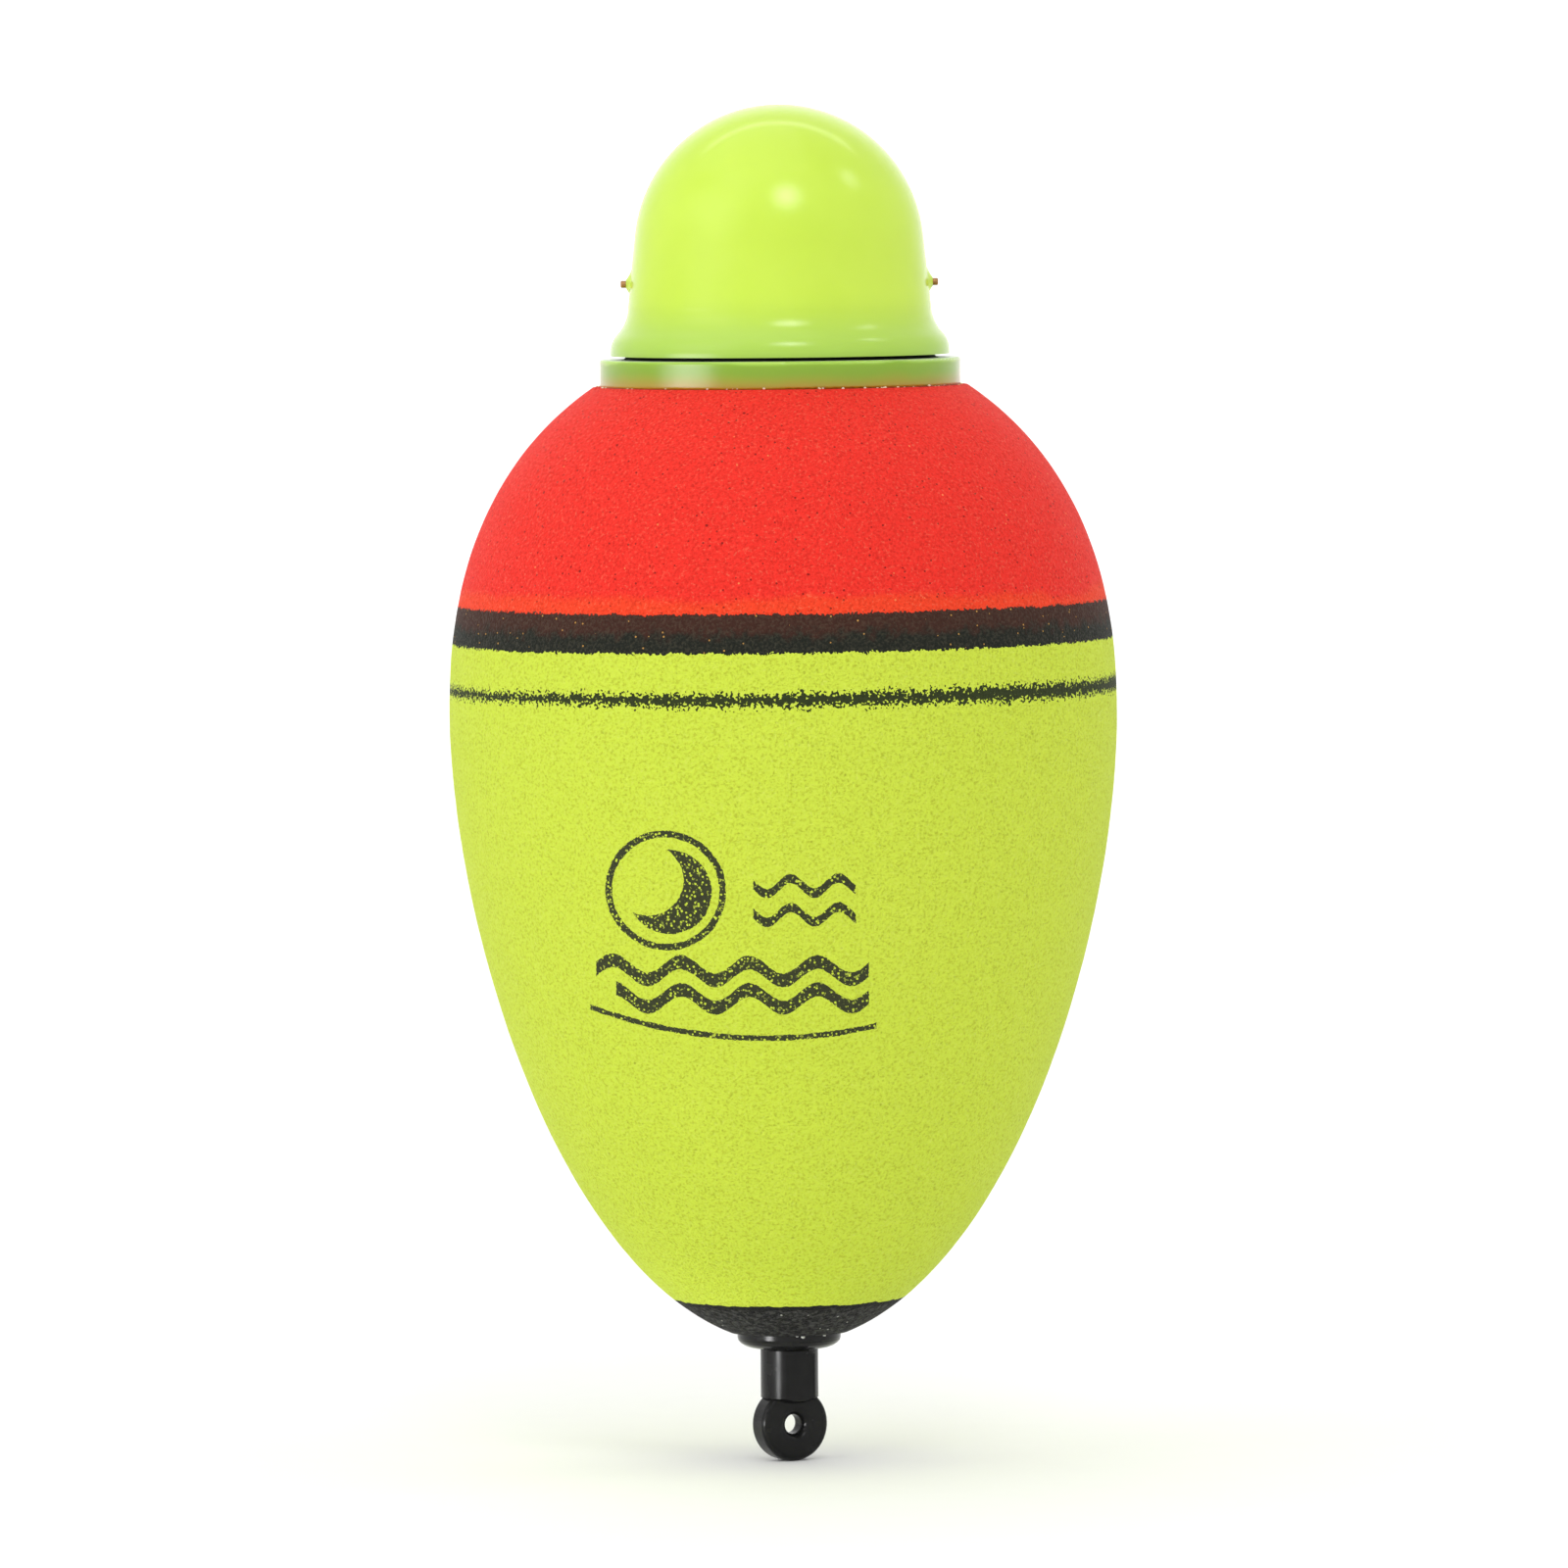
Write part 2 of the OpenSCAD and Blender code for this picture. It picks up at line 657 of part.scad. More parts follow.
module negative_contact() {
    leaf_t = 0.2;
    span = 3.6;        // half length of the bowed leaf
    bow = spring_h - leaf_t - seat_gap;
    bow_r = (span * span + bow * bow) / (2 * bow);
    leaf_w = 2.6;
    tab_w = 1.6;
    color(brass) rotate([0, 0, 60]) union() {
        translate([0, leaf_w / 2, plate_z]) rotate([90, 0, 0]) linear_extrude(leaf_w) {
            intersection() {
                translate([0, bow_r - bow - leaf_t]) difference() {
                    circle(bow_r);
                    circle(bow_r - leaf_t);
                }
                translate([-span, -2 * spring_h]) square([2 * span, 2 * spring_h]);
            }
        }
        translate([span, -tab_w / 2, plate_z - leaf_t]) cube([0.45, tab_w, board_z - plate_z + leaf_t]);
    }
}

module carrier_screws() {
    head_t = 0.6;
    color(steel) for (turn = [90, 270]) rotate([0, 0, turn])
        translate([boss_ring_r, 0, plate_z + 0.7]) rotate([180, 0, 0])
            pan_screw(carrier_screw_d, board_top_z - plate_z + 2.4, 2 * carrier_screw_d, head_t);
}

// ---------------------------------------------------------------- coin cell

gasket_t = 0.35;
can_wall = 0.3;
cap_lip = 0.35;        // how far the cap stands above the can

module cell_can() {
    edge = 0.35;
    rim_z = cell_t - cap_lip;
    color(steel) translate([0, 0, cell_z]) difference() {
        rotate_extrude() difference() {
            rounded_end(cell_r, cell_t, edge);
            translate([0, rim_z]) square([cell_d, cell_t]);
        }
        translate([0, 0, can_wall]) cylinder(r = cell_r - can_wall, h = cell_t);
    }
}

module cell_gasket() {
    color(black) translate([0, 0, cell_z + can_wall]) difference() {
        cylinder(r = cell_r - can_wall, h = cell_t - cap_lip - can_wall + 0.08);
        translate([0, 0, gasket_t]) cylinder(r = cell_r - can_wall - gasket_t, h = cell_t);
    }
}

module cell_cap() {
    color(steel) translate([0, 0, cell_z + can_wall + gasket_t]) rotate_extrude() {
        square([cell_r - can_wall - gasket_t, 1.6]);
        rounded_end(cell_r - can_wall - gasket_t - 0.25, cell_t - can_wall - gasket_t, 0.25);
    }
}

foam_body();
foam_plug();
lamp_socket();
core_tube();
ballast_ring();
stem_bush();
line_stem();
thrust_washer();
retaining_screw();
seal_ring();
lamp_dome();
contact_pin_left();
contact_pin_right();
contact_spring_left();
contact_spring_right();
circuit_board();
led_1();
led_2();
led_3();
led_leads();
driver_blob();
chip_resistors();
sensor_transistor();
cell_carrier();
positive_contact();
negative_contact();
carrier_screws();
cell_can();
cell_gasket();
cell_cap();
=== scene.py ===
"""A lighted bobber float: painted foam body, swivelling line stem below, screw-on lamp head on top.

The sections follow the float as it is put together. Everything is in metres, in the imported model's
frame: the line eye's hole is at the origin and +Z runs up through the lamp head.
"""
import math

import bpy
from mathutils import Matrix, Vector


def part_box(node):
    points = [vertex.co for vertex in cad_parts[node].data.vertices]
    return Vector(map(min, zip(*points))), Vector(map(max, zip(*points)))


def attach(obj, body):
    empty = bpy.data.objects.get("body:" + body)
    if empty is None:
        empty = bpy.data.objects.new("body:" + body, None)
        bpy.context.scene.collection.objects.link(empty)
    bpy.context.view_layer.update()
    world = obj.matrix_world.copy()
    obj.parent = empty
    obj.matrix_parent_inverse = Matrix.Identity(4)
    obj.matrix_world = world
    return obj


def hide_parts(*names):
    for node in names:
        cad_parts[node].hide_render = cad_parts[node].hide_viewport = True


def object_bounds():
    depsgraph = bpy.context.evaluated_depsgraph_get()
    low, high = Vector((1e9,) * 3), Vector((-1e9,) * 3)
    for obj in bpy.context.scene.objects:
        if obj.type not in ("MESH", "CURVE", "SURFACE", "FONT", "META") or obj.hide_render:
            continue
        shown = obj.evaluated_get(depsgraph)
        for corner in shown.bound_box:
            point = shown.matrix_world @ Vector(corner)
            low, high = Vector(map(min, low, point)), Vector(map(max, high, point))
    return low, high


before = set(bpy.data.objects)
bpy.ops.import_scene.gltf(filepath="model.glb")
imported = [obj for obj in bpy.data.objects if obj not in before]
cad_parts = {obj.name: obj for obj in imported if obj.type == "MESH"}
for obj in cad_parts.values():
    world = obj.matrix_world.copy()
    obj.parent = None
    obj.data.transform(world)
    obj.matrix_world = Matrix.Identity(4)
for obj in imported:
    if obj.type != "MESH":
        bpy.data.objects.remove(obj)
cad_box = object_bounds()
MM = 0.001


# ------------------------------------------------------------------------------------------------
# The view: a long lens about a metre in front of the float and three degrees above it.
# The float leans half a degree to the left in it.
# ------------------------------------------------------------------------------------------------
VIEW_DISTANCE = 1.085
VIEW_RISE = math.radians(3.0)
VIEW_LEAN = math.radians(0.53)
VIEW_WIDTH = 131.6 * MM
SENSOR_WIDTH = 36.0

float_middle = (cad_box[0] + cad_box[1]) / 2
float_middle.x = float_middle.y = 0.0
towards_lens = Vector((0.0, -math.cos(VIEW_RISE), math.sin(VIEW_RISE)))
lens = bpy.data.cameras.new("long lens")
lens.sensor_width = SENSOR_WIDTH
lens.lens = SENSOR_WIDTH * VIEW_DISTANCE / VIEW_WIDTH
camera = bpy.data.objects.new("camera", lens)
aim = towards_lens.to_track_quat("Z", "Y").to_matrix() @ Matrix.Rotation(-VIEW_LEAN, 3, "Z")
camera.matrix_world = Matrix.Translation(float_middle + towards_lens * VIEW_DISTANCE) @ aim.to_4x4()
bpy.context.scene.collection.objects.link(camera)
bpy.context.scene.camera = camera


# ------------------------------------------------------------------------------------------------
# Foam body: an egg of closed-cell foam, ground to shape, bored through for the tube, the ballast
# and the lamp socket, then sprayed and dipped: lime, red above, a black band and a black tip.
# ------------------------------------------------------------------------------------------------
def put(tree, kind, links=None, **settings):
    """Adds a node. links holds its inputs by name or number: another node's output, or a value."""
    node = tree.nodes.new(kind)
    for name, value in settings.items():
        setattr(node, name, value)
    for key, value in (links or {}).items():
        if isinstance(value, bpy.types.NodeSocket):
            tree.links.new(value, node.inputs[key])
        else:
            node.inputs[key].default_value = value
    return node


def calc(tree, operation, *terms, clamp=False):
    """One sum on numbers or outputs, as an output."""
    links = dict(enumerate(terms))
    return put(tree, "ShaderNodeMath", links, operation=operation, use_clamp=clamp).outputs[0]


def chain(tree, operation, terms):
    """The same sum over a list of outputs, one after another."""
    total = terms[0]
    for term in terms[1:]:
        total = calc(tree, operation, total, term)
    return total


def ramp(tree, value, start, end, low=0.0, high=1.0):
    """A smooth step: low before start, high after end."""
    links = {"Value": value, "From Min": start, "From Max": end, "To Min": low, "To Max": high}
    return put(tree, "ShaderNodeMapRange", links, interpolation_type="SMOOTHSTEP").outputs[0]


def new_tree(name, inputs):
    """An empty shape tree with named inputs, its input node and its output node."""
    tree = bpy.data.node_groups.new(name, "GeometryNodeTree")
    kinds = {float: "NodeSocketFloat", int: "NodeSocketInt", "material": "NodeSocketMaterial"}
    for label, kind in inputs:
        tree.interface.new_socket(name=label, in_out="INPUT", socket_type=kinds[kind])
    tree.interface.new_socket(name="Geometry", in_out="OUTPUT", socket_type="NodeSocketGeometry")
    return tree, tree.nodes.new("NodeGroupInput").outputs, tree.nodes.new("NodeGroupOutput")


def grow(name, tree, sizes):
    """Runs a shape tree with these sizes and returns the result as a plain mesh object."""
    holder = bpy.data.objects.new(name + " holder", bpy.data.meshes.new(name + " holder"))
    bpy.context.scene.collection.objects.link(holder)
    maker = holder.modifiers.new("maker", "NODES")
    maker.node_group = tree
    for socket in tree.interface.items_tree:
        if socket.in_out == "INPUT":
            maker[socket.identifier] = sizes[socket.name]
    shaped = holder.evaluated_get(bpy.context.evaluated_depsgraph_get())
    mesh = bpy.data.meshes.new_from_object(shaped)
    mesh.name = name
    holder.modifiers.remove(maker)
    bpy.data.objects.remove(holder)
    piece = bpy.data.objects.new(name, mesh)
    bpy.context.scene.collection.objects.link(piece)
    return piece


def new_finish(name):
    """A material, its tree, its shader and the surface position in metres."""
    finish = bpy.data.materials.new(name)
    finish.use_nodes = True
    tree = finish.node_tree
    shader = tree.nodes["Principled BSDF"]
    place = put(tree, "ShaderNodeTexCoord").outputs["Object"]
    return finish, tree, shader, place


def noise(tree, place, size, detail=2.0, roughness=0.5):
    """Soft noise whose lumps are about size metres across, from 0 to 1."""
    links = {"Vector": place, "Scale": 1.0 / size, "Detail": detail, "Roughness": roughness}
    return put(tree, "ShaderNodeTexNoise", links).outputs["Fac"]


def specks(tree, place, spacing, radius, share):
    """1 inside small dots that lie spacing apart, of which only a share is kept, and 0 elsewhere."""
    cells = put(tree, "ShaderNodeTexVoronoi", {"Vector": place, "Scale": 1.0 / spacing})
    draw = put(tree, "ShaderNodeSeparateColor", {0: cells.outputs["Color"]}).outputs[0]
    near = calc(tree, "LESS_THAN", cells.outputs["Distance"], radius / spacing)
    return calc(tree, "MULTIPLY", near, calc(tree, "LESS_THAN", draw, share))


def over(tree, factor, below, above, blend="MIX"):
    """Paints one colour over another by a factor, or darkens it where blend is MULTIPLY."""
    links = {0: factor, 6: below, 7: above}
    mix = put(tree, "ShaderNodeMix", data_type="RGBA", blend_type=blend)
    for key, value in links.items():
        if isinstance(value, bpy.types.NodeSocket):
            tree.links.new(value, mix.inputs[key])
        elif key == 0:
            mix.inputs[key].default_value = value
        else:
            mix.inputs[key].default_value = (*value, 1.0)
    return mix.outputs[2]


def bump(tree, shader, height, depth, strength=1.0):
    """Raises the surface by height times depth metres."""
    links = {"Height": height, "Distance": depth, "Strength": strength}
    tree.links.new(put(tree, "ShaderNodeBump", links).outputs[0], shader.inputs["Normal"])


foam_low, foam_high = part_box("foam_body")
socket_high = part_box("lamp_socket")[1]
ballast_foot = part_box("ballast_ring")[0].z
plug_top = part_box("foam_plug")[1].z


def ring_radii(node, height):
    """The smallest and largest radius of a CAD node's edges at a height."""
    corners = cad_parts[node].data.vertices
    radii = [c.co.xy.length for c in corners if abs(c.co.z - height) < 0.02 * MM]
    return min(radii), max(radii)


WIDEST_ABOVE_TIP = 51.4 * MM
SHOULDER_POWER = 2.42
TIP_POWER = 1.68
widest_radius = foam_high.x
widest_z = foam_low.z + WIDEST_ABOVE_TIP
tube_bore, tip_radius = ring_radii("foam_body", foam_low.z)
socket_bore, top_radius = ring_radii("foam_body", foam_high.z)
ballast_bore = ring_radii("foam_body", plug_top)[0]


def reach_of(rise, end_radius, power):
    """How far from the widest ring the outline would close, if it weren't cut flat at end_radius."""
    return rise / (1.0 - (end_radius / widest_radius) ** 2) ** (1.0 / power)


foam_sizes = {
    "Widest radius": widest_radius,
    "Widest height": widest_z,
    "Top height": foam_high.z,
    "Tip height": foam_low.z,
    "Shoulder reach": reach_of(foam_high.z - widest_z, top_radius, SHOULDER_POWER),
    "Shoulder power": SHOULDER_POWER,
    "Tip reach": reach_of(widest_z - foam_low.z, tip_radius, TIP_POWER),
    "Tip power": TIP_POWER,
    "Top radius": top_radius,
    "Tip radius": tip_radius,
    "Socket bore radius": socket_bore,
    "Socket bore foot": plug_top,
    "Ballast bore radius": ballast_bore,
    "Ballast bore foot": ballast_foot,
    "Tube bore radius": tube_bore,
    "Unevenness": 0.10 * MM,
    "Unevenness size": 7.0 * MM,
    "Grain": 0.045 * MM,
    "Grain size": 1.1 * MM,
    "Seed": 4.0,
    "Segments": 300,
    "Rows": 220,
}
tree, given, result = new_tree(
    "foam body shape",
    [(label, type(value)) for label, value in foam_sizes.items()] + [("Paint", "material")],
)


def wrap(rows, radius_and_height):
    """A sheet of rows by Segments, wrapped round the axis. Faces point away from the sheet's left."""
    across = calc(tree, "ADD", given["Segments"], 1)
    links = {"Size X": 1.0, "Size Y": 1.0, "Vertices X": across, "Vertices Y": rows}
    sheet = put(tree, "GeometryNodeMeshGrid", links).outputs["Mesh"]
    spot = put(tree, "ShaderNodeSeparateXYZ", {0: put(tree, "GeometryNodeInputPosition").outputs[0]})
    turn = calc(tree, "MULTIPLY", calc(tree, "ADD", spot.outputs[0], 0.5), math.tau)
    climb = calc(tree, "ADD", spot.outputs[1], 0.5)
    radius, height = radius_and_height(climb, turn)
    links = {
        0: calc(tree, "MULTIPLY", radius, calc(tree, "SINE", turn)),
        1: calc(tree, "MULTIPLY", radius, calc(tree, "COSINE", turn)),
        2: height,
    }
    place = put(tree, "ShaderNodeCombineXYZ", links).outputs[0]
    return put(tree, "GeometryNodeSetPosition", {"Geometry": sheet, "Position": place}).outputs[0]


def skin(climb, turn):
    """The outside: rows crowd towards both ends, where the outline turns fastest."""
    wave = calc(tree, "COSINE", calc(tree, "MULTIPLY", climb, math.pi))
    eased = calc(tree, "MULTIPLY", calc(tree, "SUBTRACT", 1.0, wave), 0.5)
    share = calc(tree, "ADD", calc(tree, "MULTIPLY", climb, 0.4), calc(tree, "MULTIPLY", eased, 0.6))
    span = calc(tree, "SUBTRACT", given["Top height"], given["Tip height"])
    height = calc(tree, "MULTIPLY_ADD", share, span, given["Tip height"])
    from_widest = calc(tree, "SUBTRACT", height, given["Widest height"])
    fall = 1.0
    for sign, part in ((1.0, "Shoulder"), (-1.0, "Tip")):
        way = calc(tree, "MAXIMUM", calc(tree, "MULTIPLY", from_widest, sign), 0.0)
        way = calc(tree, "DIVIDE", way, given[part + " reach"])
        fall = calc(tree, "SUBTRACT", fall, calc(tree, "POWER", way, given[part + " power"]))
    radius = calc(tree, "MULTIPLY", given["Widest radius"], calc(tree, "SQRT", fall))
    to_end = calc(
        tree, "MINIMUM",
        calc(tree, "SUBTRACT", given["Top height"], height),
        calc(tree, "SUBTRACT", height, given["Tip height"]),
    )
    hold = calc(tree, "DIVIDE", to_end, 2.0 * MM, clamp=True)
    links = {0: calc(tree, "SINE", turn), 1: calc(tree, "COSINE", turn), 2: 0.0}
    outward = put(tree, "ShaderNodeCombineXYZ", links).outputs[0]
    ring = put(tree, "ShaderNodeVectorMath", {0: outward, "Scale": radius}, operation="SCALE")
    rise = put(tree, "ShaderNodeCombineXYZ", {2: height}).outputs[0]
    spot = put(tree, "ShaderNodeVectorMath", {0: ring.outputs[0], 1: rise}).outputs[0]
    for amount, size in (("Unevenness", "Unevenness size"), ("Grain", "Grain size")):
        links = {"Vector": spot, "W": given["Seed"], "Scale": calc(tree, "DIVIDE", 1.0, given[size])}
        lumps = put(tree, "ShaderNodeTexNoise", links, noise_dimensions="4D").outputs["Fac"]
        lumps = calc(tree, "MULTIPLY", calc(tree, "SUBTRACT", lumps, 0.5), hold)
        radius = calc(tree, "MULTIPLY_ADD", lumps, given[amount], radius)
    return radius, height


bore_outline = (
    ("Top radius", "Top height"),
    ("Socket bore radius", "Top height"),
    ("Socket bore radius", "Socket bore foot"),
    ("Ballast bore radius", "Socket bore foot"),
    ("Ballast bore radius", "Ballast bore foot"),
    ("Tube bore radius", "Ballast bore foot"),
    ("Tube bore radius", "Tip height"),
    ("Tip radius", "Tip height"),
)


def bore(climb, turn):
    """The stepped bore, from the top's rim down to the tip's rim, one corner to a row."""
    row = calc(tree, "ROUND", calc(tree, "MULTIPLY", climb, len(bore_outline) - 1))
    found = []
    for column in (0, 1):
        pick = put(tree, "GeometryNodeIndexSwitch", data_type="FLOAT")
        while len(pick.index_switch_items) < len(bore_outline):
            pick.index_switch_items.new()
        tree.links.new(row, pick.inputs["Index"])
        for number, corner in enumerate(bore_outline):
            tree.links.new(given[corner[column]], pick.inputs[number + 1])
        found.append(pick.outputs[0])
    return found


joined = put(tree, "GeometryNodeJoinGeometry")
for sheet in (wrap(given["Rows"], skin), wrap(len(bore_outline), bore)):
    turned = put(tree, "GeometryNodeFlipFaces", {"Mesh": sheet}).outputs[0]
    tree.links.new(turned, joined.inputs[0])
closed = put(tree, "GeometryNodeMergeByDistance", {"Geometry": joined.outputs[0], "Distance": 0.01 * MM})
smooth = put(tree, "GeometryNodeSetShadeSmooth", {"Geometry": closed.outputs[0]}).outputs[0]
real = put(tree, "GeometryNodeRealizeInstances", {"Geometry": smooth}).outputs[0]
painted = put(tree, "GeometryNodeSetMaterial", {"Geometry": real, "Material": given["Paint"]})
tree.links.new(painted.outputs[0], result.inputs[0])

LIME = (0.655, 0.800, 0.064)
DEEP_LIME = (0.615, 0.770, 0.052)
RED = (0.930, 0.030, 0.018)
DEEP_RED = (0.88, 0.026, 0.016)
ORANGE_RED = (0.950, 0.056, 0.015)
PAINTED_GLINT = (0.98, 0.30, 0.10)
PAINTED_PIT_SHADE = (0.26, 0.22, 0.18)
PAINTED_GRAIN_SHADE = (0.80, 0.75, 0.67)
PAINTED_GRAIN_LIGHT = (0.98, 0.80, 0.40)
BLACK_INK = (0.012, 0.014, 0.009)
INK_OVER_RED = (0.050, 0.017, 0.010)
INK_GLINT = (0.72, 0.38, 0.08)
INK_WORN = (0.42, 0.36, 0.22)
LINE_INK = (0.012, 0.020, 0.008)
MARK_INK = (0.024, 0.026, 0.018)
BLACK_TIP = (0.005, 0.005, 0.005)
TIP_GRAIN = (0.058, 0.058, 0.054)
TIP_SPECK = (0.50, 0.50, 0.45)
TIP_RIM = (0.006, 0.006, 0.005)
GRAIN_SIZE = 0.24 * MM
LUMP_SIZE = 1.1 * MM
CLOUD_SIZE = 9.0 * MM
PIT_SPACING = 0.55 * MM
RAGGED_FINE = 0.60 * MM
RAGGED_COARSE = 0.45 * MM
BAND_FOOT = 66.0 * MM
BAND_TOP = 69.2 * MM
RED_FOOT = 67.5 * MM
ORANGE_TOP = 70.4 * MM
LINE_HEIGHT = 62.2 * MM
LINE_DENSITY = 0.350
LINE_FADE = 435.0
BLACK_TIP_TOP = 10.75 * MM
PIT_IN_RED = 0.85
PIT_IN_LIME = 0.22
BAND_SLANT = 0.0035
foam_paint, paint, shader, place = new_finish("painted foam")
axes = put(paint, "ShaderNodeSeparateXYZ", {0: place}).outputs
grain = noise(paint, place, GRAIN_SIZE, 2.0, 0.6)
bristle = noise(paint, place, GRAIN_SIZE, 1.0)
coarse = noise(paint, place, LUMP_SIZE)
cloud = noise(paint, place, CLOUD_SIZE)
ragged = calc(paint, "MULTIPLY_ADD", calc(paint, "SUBTRACT", bristle, 0.5), RAGGED_FINE, 0.0)
ragged = calc(paint, "MULTIPLY_ADD", calc(paint, "SUBTRACT", coarse, 0.5), RAGGED_COARSE, ragged)
level = calc(paint, "MULTIPLY_ADD", axes[0], -BAND_SLANT, axes[2])
torn = calc(paint, "ADD", level, ragged)
drift = calc(paint, "MULTIPLY_ADD", calc(paint, "SUBTRACT", cloud, 0.5), 3.0 * MM, torn)

# Lime all over, then red above the band, then the pits and grain of the cut foam: painted shade in the
# pits, painted light and shade on the grain, and painted glints in the red.
shade = over(paint, calc(paint, "MULTIPLY", cloud, 0.6), LIME, DEEP_LIME)
deep_red = over(paint, calc(paint, "MULTIPLY", cloud, 0.5), RED, DEEP_RED)
red = over(paint, ramp(paint, drift, ORANGE_TOP - 0.5 * MM, ORANGE_TOP + 0.5 * MM), ORANGE_RED, deep_red)
in_red = calc(paint, "GREATER_THAN", torn, RED_FOOT)
shade = over(paint, in_red, shade, red)
pits = calc(paint, "MAXIMUM", specks(paint, place, PIT_SPACING, 0.085 * MM, 0.40),
            specks(paint, place, 1.7 * MM, 0.12 * MM, 0.45))
# The pits are darkened in the colour as well as sunk by the bump: painted shade in the pits, strongest in
# the red.
pit_shade_amount = calc(paint, "MULTIPLY_ADD", in_red, PIT_IN_RED - PIT_IN_LIME, PIT_IN_LIME)
shade = over(paint, calc(paint, "MULTIPLY", pits, pit_shade_amount), shade, PAINTED_PIT_SHADE, "MULTIPLY")
# Painted shade on the grain: its relief is darkened in the colour, which the bump alone hardly shows.
shade = over(paint, ramp(paint, grain, 0.48, 0.72), shade, PAINTED_GRAIN_SHADE, "MULTIPLY")
# Painted glints: small bright orange specks in the red.
red_glints = calc(paint, "MULTIPLY", specks(paint, place, 1.3 * MM, 0.09 * MM, 0.35), in_red)
shade = over(paint, calc(paint, "MULTIPLY", red_glints, 0.75), shade, PAINTED_GLINT)
# Painted light on the grain: its low spots are lightened in the colour.
shade = over(paint, ramp(paint, grain, 0.45, 0.25, 0.0, 0.10), shade, PAINTED_GRAIN_LIGHT)

# The black band, browner towards its top, where the ink lies over the red.
brown_share = calc(paint, "MULTIPLY_ADD", calc(paint, "SUBTRACT", coarse, 0.5), 2.0 * MM, torn)
ink = over(paint, ramp(paint, brown_share, RED_FOOT - 0.5 * MM, RED_FOOT + 0.7 * MM),
           BLACK_INK, INK_OVER_RED)
glints = specks(paint, place, PIT_SPACING, 0.075 * MM, 0.30)
ink = over(paint, calc(paint, "MULTIPLY", glints, 0.85), ink, INK_GLINT)
ink = over(paint, ramp(paint, grain, 0.55, 0.35, 0.0, 0.05), ink, INK_WORN)
in_band = calc(paint, "MULTIPLY", calc(paint, "GREATER_THAN", torn, BAND_FOOT),
               calc(paint, "LESS_THAN", torn, BAND_TOP))
shade = over(paint, in_band, shade, ink)

# The thin line below it: dense in the middle, breaking up into stray dots away from it.
run = calc(paint, "MULTIPLY_ADD", calc(paint, "SUBTRACT", coarse, 0.5), 0.35 * MM, level)
off_line = calc(paint, "ABSOLUTE", calc(paint, "SUBTRACT", run, LINE_HEIGHT))
dry = calc(paint, "MULTIPLY_ADD", axes[0], -2.0, calc(paint, "MULTIPLY", cloud, -0.12))
needed = calc(paint, "ADD", calc(paint, "MULTIPLY_ADD", off_line, LINE_FADE, LINE_DENSITY), dry)
worn = calc(paint, "GREATER_THAN", bristle, needed)
shade = over(paint, calc(paint, "MULTIPLY", worn, 0.97), shade, LINE_INK)

# The printed mark, on the front only: a crescent in a ring over waves.
MARK_MIDDLE = (-4.4 * MM, 42.8 * MM)
MARK_ACROSS = 11.8 * MM
right = calc(paint, "SUBTRACT", axes[0], MARK_MIDDLE[0])
up = calc(paint, "SUBTRACT", axes[2], MARK_MIDDLE[1])


def round_from(middle):
    """Distance from a point of the mark, which is given in millimetres from its middle."""
    spot = put(paint, "ShaderNodeCombineXYZ", {0: right, 1: up}).outputs[0]
    links = {0: spot, 1: (middle[0] * MM, middle[1] * MM, 0.0)}
    return put(paint, "ShaderNodeVectorMath", links, operation="DISTANCE").outputs["Value"]


def wave(height, swing, length, start, end, half):
    """A wavy stroke between two ends: negative inside it. Sizes in millimetres."""
    along = calc(paint, "MULTIPLY", right, math.tau / (length * MM))
    line = calc(paint, "MULTIPLY_ADD", calc(paint, "SINE", along), swing * MM, height * MM)
    off = calc(paint, "ABSOLUTE", calc(paint, "SUBTRACT", up, line))
    off = calc(paint, "SUBTRACT", off, half * MM)
    middle, reach = (start + end) / 2 * MM, (end - start) / 2 * MM
    side = calc(paint, "ABSOLUTE", calc(paint, "SUBTRACT", right, middle))
    return calc(paint, "MAXIMUM", off, calc(paint, "SUBTRACT", side, reach))


outline = calc(paint, "ABSOLUTE", calc(paint, "SUBTRACT", round_from((-5.4, 3.7)), 4.7 * MM))
moon = calc(paint, "MAXIMUM", calc(paint, "SUBTRACT", round_from((-5.1, 3.6)), 3.5 * MM),
            calc(paint, "SUBTRACT", 3.0 * MM, round_from((-6.9, 4.6))))
bow = calc(paint, "SUBTRACT", right, 2.8 * MM)
bow = calc(paint, "MULTIPLY_ADD", calc(paint, "MULTIPLY", bow, bow), 11.0, -8.6 * MM)
keel = calc(paint, "SUBTRACT", calc(paint, "ABSOLUTE", calc(paint, "SUBTRACT", up, bow)), 0.24 * MM)
keel = calc(paint, "MAXIMUM", keel, calc(paint, "SUBTRACT", calc(paint, "ABSOLUTE", right), MARK_ACROSS))
mark = chain(paint, "MINIMUM", [
    calc(paint, "SUBTRACT", outline, 0.28 * MM),
    moon,
    wave(4.1, 0.60, 3.9, 1.8, 10.2, 0.40),
    wave(1.7, 0.60, 3.9, 1.8, 10.2, 0.40),
    wave(-3.0, 0.75, 5.6, -11.2, 11.2, 0.58),
    wave(-5.3, 0.75, 5.6, -9.6, 11.2, 0.58),
    keel,
])
mark = calc(paint, "MULTIPLY_ADD", ragged, 0.4, mark)
inked = calc(paint, "MULTIPLY", calc(paint, "LESS_THAN", mark, 0.0), calc(paint, "LESS_THAN", axes[1], 0.0))
misses = specks(paint, place, 0.36 * MM, 0.10 * MM, 0.75)
inked = calc(paint, "MULTIPLY", inked, calc(paint, "SUBTRACT", 1.0, misses))
inked = calc(paint, "MULTIPLY", inked, ramp(paint, bristle, 0.28, 0.40, 0.35, 0.97))
shade = over(paint, inked, shade, MARK_INK)

